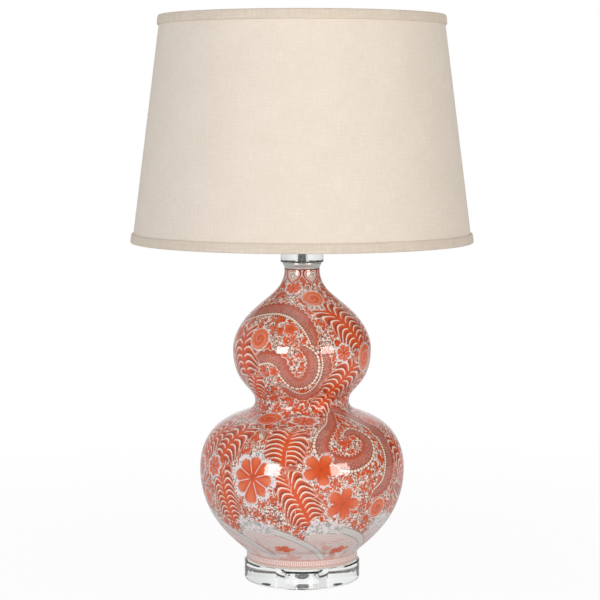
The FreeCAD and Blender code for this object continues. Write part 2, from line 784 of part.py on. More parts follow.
def hem(edge_z, into):
    """Folded tape over an edge of the shade. into is 1 where the shade lies above the edge, and -1 below."""
    web_z = edge_z + into * HEM_END
    lip_z = edge_z + into * HEM_LIP_H
    band_z = edge_z + into * HEM_H
    return turned_corners(
        (cone_r(edge_z) - LIP_INSET - HEM_LIP_T, edge_z),
        (cone_r(edge_z) + HEM_PROUD, edge_z),
        (cone_r(band_z) + HEM_PROUD, band_z),
        (cone_r(band_z), band_z),
        (cone_r(web_z), web_z),
        (cone_r(web_z) - LIP_INSET, web_z),
        (cone_r(lip_z) - LIP_INSET, lip_z),
        (cone_r(lip_z) - LIP_INSET - HEM_LIP_T, lip_z),
    )


def wire_ring(height):
    return Part.makeTorus(cone_r(height) - RING_INSET, RING_WIRE_R, FreeCAD.Vector(0, 0, height))


def spider_arm(radius):
    """One arm: level out from the washer, then up to the ring."""
    ring_r = cone_r(TOP_RING_Z) - RING_INSET
    arm_z = SPIDER_Z + ARM_WIRE_R
    foot_r = SPIDER_WASHER_R - ARM_LAP
    rise_r = ring_r - ARM_RISE_RUN
    slope = math.atan2(TOP_RING_Z - arm_z, ARM_RISE_RUN)
    tangent = ARM_BEND_R * math.tan(slope / 2)
    bend_end = (rise_r + tangent * math.cos(slope), arm_z + tangent * math.sin(slope))
    path = Part.Wire([
        line((foot_r, arm_z), (rise_r - tangent, arm_z)),
        arc((rise_r - tangent, arm_z + ARM_BEND_R), ARM_BEND_R, -90, math.degrees(slope) - 90),
        line(bend_end, (ring_r, TOP_RING_Z)),
    ])
    section = Part.Wire(Part.makeCircle(radius, at(foot_r, arm_z), FreeCAD.Vector(1, 0, 0)))
    return path.makePipeShell([section], True, True)


def arms(radius):
    return [spun(spider_arm(radius), ARM_FIRST_DEG + 360 / ARM_COUNT * i) for i in range(ARM_COUNT)]


def spider():
    """Top ring, three arms and the middle washer, welded into one piece."""
    frame = wire_ring(TOP_RING_Z)
    for arm in arms(ARM_WIRE_R):
        frame = frame.fuse(arm)
    frame = frame.fuse(cylinder(SPIDER_WASHER_R, SPIDER_Z, SPIDER_Z + SPIDER_WASHER_T))
    return frame.cut(cylinder(SPIDER_HOLE_R, SPIDER_Z - 1, SHADE_TOP))


def top_hem():
    """The upper hem, snipped round the arms."""
    tape = hem(SHADE_TOP, -1)
    for arm in arms(ARM_WIRE_R + LIFT_GAP):
        tape = tape.cut(arm)
    return tape


# Finial -------------------------------------------------------------------------------------------------

def finial():
    """Turned knob that screws on the stud and holds the shade down."""
    low = FINIAL_Z
    bore_r = STUD_R + TURNING_FIT
    neck_r = bore_r + FINIAL_WALL
    neck_z = low + FINIAL_BASE_H + neck_r
    knob_z = low + FINIAL_H - FINIAL_KNOB_R
    knob = turned(
        line((0, low), (FINIAL_BASE_R, low)),
        line((FINIAL_BASE_R, low), (FINIAL_BASE_R, low + FINIAL_BASE_H)),
        curve((FINIAL_BASE_R, low + FINIAL_BASE_H), (neck_r, low + FINIAL_BASE_H), (neck_r, neck_z)),
        curve(
            (neck_r, neck_z),
            (neck_r, knob_z - FINIAL_KNOB_R),
            (FINIAL_KNOB_R, knob_z - FINIAL_KNOB_R),
            (FINIAL_KNOB_R, knob_z),
        ),
        arc((0, knob_z), FINIAL_KNOB_R, 0, 90),
        line((0, knob_z + FINIAL_KNOB_R), (0, low)),
    )
    return knob.cut(cylinder(bore_r, low - 1, SEAT_Z + STUD_H + LOOSE_FIT))


PIECES = {
    "bumper_feet": bumper_feet(),
    "base_disc": base_disc(),
    "outlet_bush": outlet_bush(),
    "recess_washer": recess_washer(),
    "spring_washer": spring_washer(),
    "recess_nut": recess_nut(),
    "threaded_pipe": threaded_pipe(),
    "foot_gasket": foot_gasket(),
    "foot_bush": foot_bush(),
    "gourd_body": gourd_body(),
    "neck_gasket": neck_gasket(),
    "vase_cap": vase_cap(),
    "neck_spacer": neck_spacer(),
    "check_ring": check_ring(),
    "seat_nut": seat_nut(),
    "harp_saddle": harp_saddle(),
    "harp_loop": harp_loop(),
    "ferrule_left": ferrule(-1),
    "ferrule_right": ferrule(1),
    "harp_swivel": harp_swivel(),
    "holder_cap": holder_cap(),
    "holder_shell": holder_shell(),
    "holder_sleeve": holder_sleeve(),
    "holder_core": holder_core(),
    "terminal_screws": terminal_screws(),
    "screw_shell": screw_shell(),
    "centre_contact": centre_contact(),
    "switch_key": switch_key(),
    "lamp_tip": lamp_tip(),
    "lamp_cone": lamp_cone(),
    "lamp_cap": lamp_cap(),
    "lamp_glass": lamp_glass(),
    "shade_liner": shade_liner(),
    "shade_cloth": shade_cloth(),
    "shade_seam": shade_seam(),
    "shade_top_hem": top_hem(),
    "shade_bottom_hem": hem(SHADE_Z, 1),
    "shade_bottom_ring": wire_ring(BOTTOM_RING_Z),
    "spider": spider(),
    "finial": finial(),
}

os.makedirs("parts", exist_ok=True)
for name, shape in PIECES.items():
    shape.exportStep("parts/" + name + ".step")
    print(name, "solids", len(shape.Solids), "valid", shape.isValid())
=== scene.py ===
import math

import bmesh
import bpy
import numpy as np
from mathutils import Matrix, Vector


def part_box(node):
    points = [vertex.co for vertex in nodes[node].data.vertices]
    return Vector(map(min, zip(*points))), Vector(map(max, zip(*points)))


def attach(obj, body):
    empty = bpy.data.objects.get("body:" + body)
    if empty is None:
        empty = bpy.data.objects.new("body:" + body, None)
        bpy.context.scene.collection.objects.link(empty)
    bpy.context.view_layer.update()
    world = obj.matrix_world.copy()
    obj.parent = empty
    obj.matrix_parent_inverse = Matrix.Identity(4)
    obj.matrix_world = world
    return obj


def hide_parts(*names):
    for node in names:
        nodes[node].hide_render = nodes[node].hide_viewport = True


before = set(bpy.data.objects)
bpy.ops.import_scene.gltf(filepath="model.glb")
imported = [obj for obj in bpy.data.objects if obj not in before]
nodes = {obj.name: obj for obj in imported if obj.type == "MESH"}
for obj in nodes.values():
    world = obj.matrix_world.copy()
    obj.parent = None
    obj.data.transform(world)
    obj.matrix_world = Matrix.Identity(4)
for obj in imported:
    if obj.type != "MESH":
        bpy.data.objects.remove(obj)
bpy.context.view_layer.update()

# Studio ------------------------------------------------------------------------------------------------
# The camera stands 2.3 m in front at the height of the shade, and looks slightly down.

CAMERA_DISTANCE = 2.331
CAMERA_HEIGHT = 0.5608
CAMERA_LEFT = 0.0024
LOOKS_DOWN = math.radians(5.508)
SENSOR_MM = 36
LENS_MM = 118.1

camera = bpy.data.objects.new("camera", bpy.data.cameras.new("camera"))
camera.data.sensor_width = SENSOR_MM
camera.data.lens = LENS_MM
camera.location = (-CAMERA_LEFT, -CAMERA_DISTANCE, CAMERA_HEIGHT)
camera.rotation_euler = (math.pi / 2 - LOOKS_DOWN, 0, 0)
bpy.context.scene.collection.objects.link(camera)
bpy.context.scene.camera = camera
bpy.context.scene.view_settings.view_transform = "Standard"


def srgb(red, green, blue):
    """A colour as it is read off a paint card, from 0 to 255, made ready for a shader."""
    channels = []
    for level in (red, green, blue):
        part = level / 255
        channels.append(part / 12.92 if part <= 0.04045 else ((part + 0.055) / 1.055) ** 2.4)
    return (*channels, 1.0)


class Value:
    """A number that shader nodes work out at each point, so that a pattern is written as a sum."""

    def __init__(self, socket):
        self.socket = socket
        self.tree = socket.id_data

    def math(self, operation, *others):
        node = self.tree.nodes.new("ShaderNodeMath")
        node.operation = operation
        for place, number in zip(node.inputs, (self, *others)):
            if isinstance(number, Value):
                self.tree.links.new(number.socket, place)
            else:
                place.default_value = number
        return Value(node.outputs[0])

    def __add__(self, other):
        return self.math("ADD", other)

    def __sub__(self, other):
        return self.math("SUBTRACT", other)

    def __mul__(self, other):
        return self.math("MULTIPLY", other)

    def __truediv__(self, other):
        return self.math("DIVIDE", other)

    def power(self, other):
        return self.math("POWER", other)

    def root(self):
        return self.math("SQRT")

    def size(self):
        return self.math("ABSOLUTE")

    def sine(self):
        return self.math("SINE")

    def angle(self, other):
        """The angle of the point that lies this far up and other across."""
        return self.math("ARCTAN2", other)

    def part(self):
        """What is left over the whole number below, from 0 to 1."""
        return self.math("FRACT")

    def flip(self):
        return self.math("MULTIPLY_ADD", -1.0, 1.0)

    def most(self, other):
        return self.math("MAXIMUM", other)

    def least(self, other):
        return self.math("MINIMUM", other)

    def rise(self, low, high, start=0.0, end=1.0):
        """Runs from start at low to end at high, with a soft step between them."""
        node = self.tree.nodes.new("ShaderNodeMapRange")
        node.interpolation_type = "SMOOTHSTEP"
        self.tree.links.new(self.socket, node.inputs["Value"])
        ends = (("From Min", low), ("From Max", high), ("To Min", start), ("To Max", end))
        for name, number in ends:
            node.inputs[name].default_value = number
        return Value(node.outputs["Result"])


def apart(tree, vector):
    """The three numbers of a vector."""
    node = tree.nodes.new("ShaderNodeSeparateXYZ")
    tree.links.new(vector, node.inputs[0])
    return [Value(socket) for socket in node.outputs]


def own_place(tree):
    """The point's place on the lamp, in metres."""
    return tree.nodes.new("ShaderNodeTexCoord").outputs["Object"]


def rays(tree, *kinds):
    """For each kind of ray, 1 where a surface is reached by it and 0 elsewhere."""
    path = tree.nodes.new("ShaderNodeLightPath")
    return [Value(path.outputs[f"Is {kind} Ray"]) for kind in kinds]


def choose(tree, share, first, second, target="Material Output"):
    """Shows the first shader where share is 0 and the second where it is 1."""
    mix = tree.nodes.new("ShaderNodeMixShader")
    tree.links.new(share.socket, mix.inputs["Fac"])
    tree.links.new(first.outputs[0], mix.inputs[1])
    tree.links.new(second.outputs[0], mix.inputs[2])
    tree.links.new(mix.outputs[0], tree.nodes[target].inputs["Surface"])


# White walls all round, which the eye sees plain white. Polished faces see the wall behind the camera and the
# two side walls dimmer, clear pieces see the side walls a little dimmer, and they all light the lamp evenly.

WALL_LIGHT = 0.46
FRONT_WALL = 0.35
LEFT_WALL = 0.55
RIGHT_WALL = 0.15
SIDES_EVENED_WHEN_CLEAR = 0.72

walls = bpy.data.worlds.new("white walls")
walls.use_nodes = True
bpy.context.scene.world = walls
tree = walls.node_tree
lit = tree.nodes["Background"]
lit.inputs["Color"].default_value = srgb(250, 250, 252)
lit.inputs["Strength"].default_value = WALL_LIGHT
seen = tree.nodes.new("ShaderNodeBackground")
heading_x, heading_y = apart(tree, tree.nodes.new("ShaderNodeTexCoord").outputs["Generated"])[:2]
front_share = heading_y.rise(-0.1, -0.7, 1.0, FRONT_WALL)
side_share = heading_x.rise(0.1, 0.6, 1.0, RIGHT_WALL) * heading_x.rise(-0.1, -0.6, 1.0, LEFT_WALL)
wall_share = front_share * side_share
by_eye, by_gloss, by_clear = rays(tree, "Camera", "Glossy", "Transmission")
wall_share = wall_share + (front_share - wall_share) * by_clear * SIDES_EVENED_WHEN_CLEAR
tree.links.new(wall_share.most(by_eye).socket, seen.inputs["Color"])
choose(tree, by_eye.most(by_gloss).most(by_clear), lit, seen, "World Output")


GOURD_MIDDLE = (0, 0, 0.3)


def softbox(name, place, width, height, watts, colour):
    """A lamp with a flat cloth front, turned to face the gourd."""
    light = bpy.data.lights.new(name, "AREA")
    light.shape = "RECTANGLE"
    light.size = width
    light.size_y = height
    light.energy = watts
    light.color = colour
    lamp = bpy.data.objects.new(name, light)
    lamp.location = place
    lamp.rotation_euler = (Vector(GOURD_MIDDLE) - Vector(place)).to_track_quat("-Z", "Y").to_euler()
    bpy.context.scene.collection.objects.link(lamp)


# Two softboxes stand a little above the table on either side of the camera: a cool one on the left, and a
# wider and warmer one on the right.
softbox("left softbox", (-1.6, -2.5, 0.78), width=0.92, height=0.95, watts=31, colour=(0.98, 0.985, 1.0))
softbox("right softbox", (2.0, -2.2, 0.8), width=1.15, height=1.0, watts=29.5, colour=(1.0, 0.965, 0.91))

# A white table top, which shows nearly as white as the walls and joins them further off. It keeps a trace of
# the lamp's soft shadow, and shows only weakly in polished faces.

TABLE_R = 4.0
TABLE_WHITE = (0.86, 0.86, 0.86, 1)
TABLE_SHOWN = 0.95
TABLE_IN_GLOSS = 0.3
TABLE_NEAR = 0.2
TABLE_FAR = 1.2

table = bmesh.new()
bmesh.ops.create_circle(table, cap_ends=True, radius=TABLE_R, segments=96)
table_mesh = bpy.data.meshes.new("table top")
table.to_mesh(table_mesh)
table.free()
table_top = bpy.data.objects.new("table_top", table_mesh)
bpy.context.scene.collection.objects.link(table_top)
table_paint = bpy.data.materials.new("white table")
table_paint.use_nodes = True
tree = table_paint.node_tree
matt = tree.nodes.new("ShaderNodeBsdfDiffuse")
matt.inputs["Color"].default_value = TABLE_WHITE
glow = tree.nodes.new("ShaderNodeEmission")
glow.inputs["Strength"].default_value = 1.0
x, y = apart(tree, own_place(tree))[:2]
from_lamp = (x * x + y * y).root()
by_eye, by_gloss, by_clear = rays(tree, "Camera", "Glossy", "Transmission")
table_seen = by_eye.most(by_gloss * TABLE_IN_GLOSS).most(by_clear)
choose(tree, table_seen * from_lamp.rise(TABLE_NEAR, TABLE_FAR, TABLE_SHOWN, 1.0), matt, glow)
table_mesh.materials.append(table_paint)


# Acrylic disc ------------------------------------------------------------------------------------------
# The lamp stands on a thick disc of cast acrylic, bevelled at the top and rounded at the foot, polished all
# over. Four soft clear bumpers are pressed into pockets under it, and a black bush lines the lead's way out.


def blank(name):
    """A new material, its node tree and its main shader."""
    material = bpy.data.materials.new(name)
    material.use_nodes = True
    return material, material.node_tree, material.node_tree.nodes["Principled BSDF"]


def speckle(tree, vector, scale, detail=2.0, stretch=(1, 1, 1)):
    """Soft random blotches from 0 to 1. A stretch under 1 draws them out along that axis."""
    place = tree.nodes.new("ShaderNodeMapping")
    place.inputs["Scale"].default_value = stretch
    tree.links.new(vector, place.inputs["Vector"])
    node = tree.nodes.new("ShaderNodeTexNoise")
    node.inputs["Scale"].default_value = scale
    node.inputs["Detail"].default_value = detail
    tree.links.new(place.outputs[0], node.inputs["Vector"])
    return Value(node.outputs["Fac"])


def between(tree, low, high, amount):
    """A colour or number from low to high as amount goes from 0 to 1."""
    node = tree.nodes.new("ShaderNodeMix")
    node.data_type = "RGBA"
    tree.links.new(amount.socket, node.inputs["Factor"])
    for socket, colour in zip((node.inputs[6], node.inputs[7]), (low, high)):
        if isinstance(colour, tuple):
            socket.default_value = colour
        else:
            tree.links.new(colour, socket)
    return node.outputs[2]


def relief(tree, shader, height, depth):
    """Raises the surface where height is 1, by depth in metres."""
    bump = tree.nodes.new("ShaderNodeBump")
    bump.inputs["Distance"].default_value = depth
    tree.links.new(height.socket, bump.inputs["Height"])
    tree.links.new(bump.outputs[0], shader.inputs["Normal"])


def level(tree, amount, low, high, socket):
    """Sets a socket to run from low to high as amount goes from 0 to 1."""
    node = tree.nodes.new("ShaderNodeMapRange")
    node.inputs["To Min"].default_value = low
    node.inputs["To Max"].default_value = high
    tree.links.new(amount.socket, node.inputs["Value"])
    tree.links.new(node.outputs["Result"], socket)


def surface(name, dark, pale, tint, grain, rough, depth=0):
    """A material, its tree and its shader: a tint clouds it from dark to pale, and a grain varies its
    roughness and raises it by depth. Tint and grain each give the fineness and detail of their specks."""
    material, tree, shader = blank(name)
    place = own_place(tree)
    tree.links.new(between(tree, dark, pale, speckle(tree, place, *tint)), shader.inputs["Base Color"])
    marks = speckle(tree, place, *grain)
    level(tree, marks, *rough, shader.inputs["Roughness"])
    if depth:
        relief(tree, shader, marks, depth)
    return material, tree, shader


def wear(name, material):
    """Gives a solid of the frame its finish."""
    mesh = nodes[name].data
    mesh.materials.clear()
    mesh.materials.append(material)


CLEAR_SHADOW = (0.93, 0.93, 0.93, 1)

acrylic, tree, shader = blank("acrylic")
shader.inputs["Base Color"].default_value = srgb(250, 252, 251)
shader.inputs["Transmission Weight"].default_value = 1.0
shader.inputs["IOR"].default_value = 1.49
smears = speckle(tree, own_place(tree), 35, 3)
level(tree, smears, 0.0, 0.035, shader.inputs["Roughness"])
lamps_pass = tree.nodes.new("ShaderNodeBsdfTransparent")
lamps_pass.inputs["Color"].default_value = CLEAR_SHADOW
choose(tree, *rays(tree, "Shadow"), shader, lamps_pass)
wear("base_disc", acrylic)

RUBBER_SPECKS = (900, 2)
clear_rubber, tree, shader = surface(
    "clear rubber",
    srgb(214, 216, 212),
    srgb(232, 233, 230),
    tint=RUBBER_SPECKS,
    grain=RUBBER_SPECKS,
    rough=(0.35, 0.5),
)
shader.inputs["Transmission Weight"].default_value = 0.6
shader.inputs["IOR"].default_value = 1.45
wear("bumper_feet", clear_rubber)


def moulded(name, dark, pale, shine):
    """Moulded plastic with a fine spark-eroded grain."""
    rough = (shine, shine + 0.15)
    return surface(name, dark, pale, tint=(60, 2), grain=(2600, 1), rough=rough, depth=0.00003)[0]


black_plastic = moulded("black plastic", srgb(22, 22, 23), srgb(34, 34, 35), 0.42)
wear("outlet_bush", black_plastic)


# Pipe and hardware -------------------------------------------------------------------------------------
# A zinc-plated steel pipe, threaded all along, runs from the nut in the disc's recess to the lamp holder.
# Under the disc it holds a large washer, a split spring washer and a nickel-plated nut.

THREAD_PITCH = 0.001
THREAD_RELIEF = 0.00018
SCRATCH_RELIEF = 0.00004


def rolled_steel(name, dark, pale, shine, thread=False):
    """Plated steel, faintly clouded. A threaded piece has its crests and roots round it."""
    material, tree, shader = surface(
        name,
        dark,
        pale,
        tint=(220, 4),
        grain=(500, 3, (1, 1, 0.08)),
        rough=(shine, shine + 0.2),
        depth=0 if thread else SCRATCH_RELIEF,
    )
    shader.inputs["Metallic"].default_value = 1.0
    if thread:
        x, y, z = apart(tree, own_place(tree))
        turn = y.angle(x) / (2 * math.pi)
        crest = ((z / THREAD_PITCH - turn) * (2 * math.pi)).sine()
        relief(tree, shader, crest, THREAD_RELIEF)
    return material


zinc = rolled_steel("zinc plate", srgb(150, 152, 156), srgb(186, 188, 191), 0.22)
wear("recess_washer", zinc)
wear("spring_washer", zinc)
threaded_zinc = rolled_steel("threaded zinc", srgb(166, 167, 169), srgb(204, 205, 207), 0.2, thread=True)
wear("threaded_pipe", threaded_zinc)
plated_nut = rolled_steel("nickel-plated brass", srgb(128, 126, 122), srgb(172, 170, 166), 0.26)
wear("recess_nut", plated_nut)


def open_foam(name, dark, pale):
    """Closed-cell foam sheet, with its cells showing on the cut edge."""
    material, tree, shader = blank(name)
    cells = tree.nodes.new("ShaderNodeTexVoronoi")
    cells.inputs["Scale"].default_value = 2400
    tree.links.new(own_place(tree), cells.inputs["Vector"])
    cell = Value(cells.outputs["Distance"])
    tree.links.new(between(tree, dark, pale, cell), shader.inputs["Base Color"])
    level(tree, cell, 0.7, 0.9, shader.inputs["Roughness"])
    relief(tree, shader, cell, 0.0001)
    return material


foam = open_foam("white foam", srgb(206, 206, 200), srgb(232, 232, 228))
wear("foot_gasket", foam)
wear("neck_gasket", foam)
nylon = moulded("nylon", srgb(218, 216, 206), srgb(232, 230, 222), 0.4)
wear("foot_bush", nylon)


# Gourd -------------------------------------------------------------------------------------------------
# A double gourd of glazed porcelain, drilled through its floor for the pipe. Its outline is upright at each
# widest and narrowest place, and runs in from there as full as the reach of the next pole.

FOOT_R = 0.0665
FOOT_BAND_H = 0.0086
BELLY = (0.122, 0.1105)
WAIST = (0.056, 0.1908)
BULB = (0.0822, 0.2525)
NECK = (0.021, 0.349)
WALL = 0.0055
FLOOR_HOLE_R = 0.009
FOOT_RING_W = 0.008
FOOT_RING_H = 0.005
FLOOR_T = 0.006
FOOT_EDGE = 0.0008
GOURD_TURNS = 336

foot_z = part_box("gourd_body")[0].z


def swelling(poles, steps):
    """Points along a smooth stretch of outline, pulled towards the poles between its ends."""
    points = []
    for i in range(steps + 1):
        row = [Vector(pole) for pole in poles]
        while len(row) > 1:
            row = [near.lerp(far, i / steps) for near, far in zip(row, row[1:])]
        points.append((row[0].x, row[0].y + foot_z))
    return points


outer_side = [(FOOT_R - FOOT_EDGE, foot_z), (FOOT_R, foot_z + FOOT_EDGE), (FOOT_R, foot_z + FOOT_BAND_H / 2)]
outer_side += swelling([(FOOT_R, FOOT_BAND_H), (FOOT_R, 0.0171), (BELLY[0], 0.0422), BELLY], 62)
outer_side += swelling([BELLY, (BELLY[0], 0.154), (0.0928, 0.1822), (WAIST[0], 0.1699), WAIST], 62)[1:]
outer_side += swelling([WAIST, (WAIST[0], 0.2074), (BULB[0], 0.2096), BULB], 40)[1:]
outer_side += swelling([BULB, (BULB[0], 0.2862), (0.0489, 0.3154), (NECK[0], 0.315), NECK], 66)[1:]
inner_side = [
    (NECK[0] - WALL, foot_z + NECK[1]),
    (0.0165, foot_z + 0.318),
    (0.045, foot_z + 0.303),
    (BULB[0] - WALL, foot_z + BULB[1]),
    (WAIST[0] - WALL, foot_z + WAIST[1]),
    (BELLY[0] - WALL, foot_z + BELLY[1]),
    (0.1, foot_z + 0.05),
    (FOOT_R - WALL, foot_z + FOOT_RING_H + FLOOR_T),
    (FLOOR_HOLE_R, foot_z + FOOT_RING_H + FLOOR_T),
    (FLOOR_HOLE_R, foot_z + FOOT_RING_H),
    (FOOT_R - FOOT_RING_W, foot_z + FOOT_RING_H),
    (FOOT_R - FOOT_RING_W, foot_z + FOOT_EDGE),
    (FOOT_R - FOOT_RING_W + FOOT_EDGE, foot_z),
]


def turned(name, outline, turns, sharp_deg=35):
    """A closed piece turned about the lamp's axis from a ring of (radius, height) corners."""
    shape = bmesh.new()
    corners = [shape.verts.new((radius, 0, height)) for radius, height in outline]
    edges = [shape.edges.new(pair) for pair in zip(corners, corners[1:] + corners[:1])]
    bmesh.ops.spin(
        shape,
        geom=corners + edges,
        cent=(0, 0, 0),
        axis=(0, 0, 1),
        angle=2 * math.pi,
        steps=turns,
        use_merge=True,
    )
    bmesh.ops.remove_doubles(shape, verts=shape.verts, dist=1e-6)
    bmesh.ops.recalc_face_normals(shape, faces=shape.faces)
    return finished(name, shape, sharp_deg)


def finished(name, shape, sharp_deg=35):
    """Makes an object of a shape, smooth but for its sharp edges."""
    mesh = bpy.data.meshes.new(name)
    shape.to_mesh(mesh)
    shape.free()
    mesh.shade_smooth()
    mesh.set_sharp_from_angle(angle=math.radians(sharp_deg))
    piece = bpy.data.objects.new(name, mesh)
    bpy.context.scene.collection.objects.link(piece)
    return piece


gourd = turned("gourd", outer_side + inner_side, GOURD_TURNS)

# The painting is laid out on the skin unrolled: degrees round from the front, to the viewer's right, and
# height over the table. Each point of the skin gets its place on the nearest frond, flower and dragon.

count = len(gourd.data.vertices)
place = np.empty(count * 3)
gourd.data.vertices.foreach_get("co", place)
place = place.reshape(-1, 3)
radius = np.hypot(place[:, 0], place[:, 1])
turn = np.arctan2(place[:, 0], -place[:, 1])
outline = np.array(outer_side)
runs = np.hypot(*np.diff(outline, axis=0).T)
outline_climb = np.concatenate([[0], np.cumsum(runs)])


def climb_at(height):
    """How far along the outline from the foot a height over the table lies."""
    return np.interp(height, outline[:, 1], outline_climb)


climb = climb_at(place[:, 2])


def offset(degrees, height):
    """How far each point of the skin lies to the right of a place on it, and above it."""
    step = (turn - math.radians(degrees) + math.pi) % (2 * math.pi) - math.pi
    return step * radius, climb - climb_at(height)


def keep(name, field):
    """Stores a place on a motif for the material to read."""
    layer = gourd.data.attributes.new(name, "FLOAT_VECTOR", "POINT")
    layer.data.foreach_set("vector", field.astype(np.float32).ravel())


FAR_AWAY = 99.0


def nearest(motifs):
    """Each point's place on the nearest motif, in that motif's own sizes from its middle, and its number."""
    best = np.full(count, FAR_AWAY)
    field = np.full((count, 3), FAR_AWAY)
    for degrees, height, half_length, breadth, lean, bend, number in motifs:
        for side in (0, 180):
            across, along = offset(degrees + side, height)
            cosine = math.cos(math.radians(lean))
            sine = math.sin(math.radians(lean))
            y = (along * cosine + across * sine) / half_length
            x = (across * cosine - along * sine) / half_length + bend * (1 - y * y)
            reach = np.hypot(x / breadth, y)
            closer = reach < best
            best[closer] = reach[closer]
            field[closer] = np.column_stack([x / breadth, y, np.full(count, number)])[closer]
    return field


# Fronds: degrees round, height, half length, breadth, lean to the right in degrees, bend, leaflets on a side
FRONDS = [
    (46, 0.308, 0.0300, 0.86, -28, -0.12, 9),
    (39, 0.246, 0.0255, 0.90, 34, 0.10, 8),
    (-55, 0.277, 0.0270, 0.90, -8, 0.10, 7),
    (-50, 0.236, 0.0200, 0.80, 26, 0.10, 6),
    (-9, 0.1765, 0.0215, 1.28, 8, 0.08, 8),
    (-48, 0.1765, 0.0240, 0.92, 20, 0.10, 7),
    (-49, 0.116, 0.0350, 0.62, -10, -0.08, 12),
    (-2, 0.1140, 0.0345, 0.68, -26, -0.06, 11),
    (77, 0.150, 0.0290, 0.80, -20, 0.08, 8),
    (84, 0.302, 0.0250, 0.85, 16, -0.08, 7),
    (-84, 0.168, 0.0270, 0.80, 12, 0.10, 7),
    (26, 0.2200, 0.0160, 0.90, 40, 0.08, 6),
    (92, 0.238, 0.0200, 0.90, -20, 0.08, 6),
    (112, 0.176, 0.0250, 0.85, 24, 0.08, 8),
    (-108, 0.232, 0.0210, 0.90, 18, 0.08, 7),
]
keep("frond", nearest(FRONDS))

# Flowers: degrees round, height, radius, breadth, turn in degrees, bend, petals, or 0 for a round one
FLOWERS = [
    (-27.7, 0.1418, 0.0265, 0.94, 8, 0, 8),
    (23, 0.112, 0.0225, 1, 2, 0, 5),
    (19.6, 0.3411, 0.0125, 1.1, 0, 0, 0),
    (-39.2, 0.2968, 0.0135, 1, 0, 0, 0),
    (64.3, 0.2722, 0.0170, 0.9, 0, 0, 0),
    (-33.4, 0.2022, 0.0125, 1.35, 0, 0, 0),
    (48.3, 0.1008, 0.0130, 1, 0, 0, 0),
    (36.3, 0.2807, 0.0105, 1, 20, 0, 6),
    (-22, 0.3525, 0.0088, 1.2, 0, 0, 7),
    (-10.6, 0.3092, 0.0095, 1, 0, 0, 5),
    (10.4, 0.1530, 0.0205, 1.15, 10, 0, 5),
    (-76, 0.1420, 0.0130, 1, 0, 0, 6),
    (-68, 0.108, 0.0110, 1, 0, 0, 0),
    (122, 0.148, 0.0130, 1, 40, 0, 7),
    (70, 0.196, 0.0115, 1, 0, 0, 0),
    (-86, 0.262, 0.0120, 1, 0, 0, 0),
    (108, 0.300, 0.0120, 1, 0, 0, 5),
    (-24, 0.260, 0.0070, 1, 0, 0, 5),
    (2, 0.2015, 0.0105, 1.5, 10, 0, 7),
    (-14.5, 0.0530, 0.0082, 1.7, 0, 0, 5),
    (31, 0.0500, 0.0088, 1.6, -12, 0, 5),
    (-66, 0.0510, 0.0080, 1.5, 10, 0, 5),
    (78, 0.0515, 0.0084, 1.5, 0, 0, 5),
]
keep("flower", nearest(FLOWERS))


def winding(stops, step_count=14):
    """A smooth line through (degrees, height, half width) stops."""
    rows = np.array([stops[0], *stops, stops[-1]], float)
    line = []
    for a, b, c, d in zip(rows, rows[1:], rows[2:], rows[3:]):
        for t in np.linspace(0, 1, step_count, endpoint=False):
            bow = (2 * a - 5 * b + 4 * c - d) * t**2 + (3 * b - a - 3 * c + d) * t**3
            line.append((2 * b + (c - a) * t + bow) / 2)
    return np.array(line)


# Dragons: each body as (degrees round, height, half width)
DRAGONS = [
    [(-108, 0.262, 0.003), (-98, 0.290, 0.005), (-82, 0.314, 0.006), (-62, 0.325, 0.0068),
     (-40, 0.330, 0.007), (-22, 0.330, 0.007), (-6, 0.325, 0.0068), (4, 0.315, 0.006), (9, 0.303, 0.005),
     (10, 0.293, 0.003)],
    [(-46, 0.262, 0.003), (-38, 0.273, 0.005), (-27, 0.277, 0.006), (-18, 0.270, 0.006), (-14, 0.258, 0.006),
     (-7, 0.247, 0.006), (2, 0.248, 0.006), (8, 0.260, 0.006), (8, 0.277, 0.005), (1, 0.288, 0.003)],
    [(34, 0.207, 0.003), (25, 0.198, 0.005), (15, 0.188, 0.0065), (12, 0.174, 0.007), (19, 0.162, 0.007),
     (30, 0.158, 0.007), (40, 0.166, 0.007), (44, 0.180, 0.006), (38, 0.190, 0.0045), (31, 0.188, 0.003)],
    [(38, 0.212, 0.004), (52, 0.205, 0.006), (60, 0.190, 0.0075), (60, 0.166, 0.0075), (57, 0.145, 0.007),
     (52, 0.128, 0.006), (44, 0.120, 0.004)],
    [(66, 0.120, 0.004), (76, 0.112, 0.006), (90, 0.124, 0.007), (98, 0.146, 0.007), (96, 0.170, 0.007),
     (86, 0.184, 0.005), (78, 0.180, 0.003)],
    [(-124, 0.186, 0.004), (-112, 0.172, 0.006), (-104, 0.150, 0.007), (-98, 0.126, 0.007),
     (-84, 0.110, 0.006), (-74, 0.114, 0.003)],
    [(18, 0.283, 0.003), (21, 0.268, 0.0045), (19, 0.250, 0.0045), (13, 0.236, 0.0045), (3, 0.229, 0.0045),
     (-8, 0.231, 0.004), (-17, 0.239, 0.003)],
]
best = np.full(count, FAR_AWAY)
dragon = np.full((count, 3), FAR_AWAY)
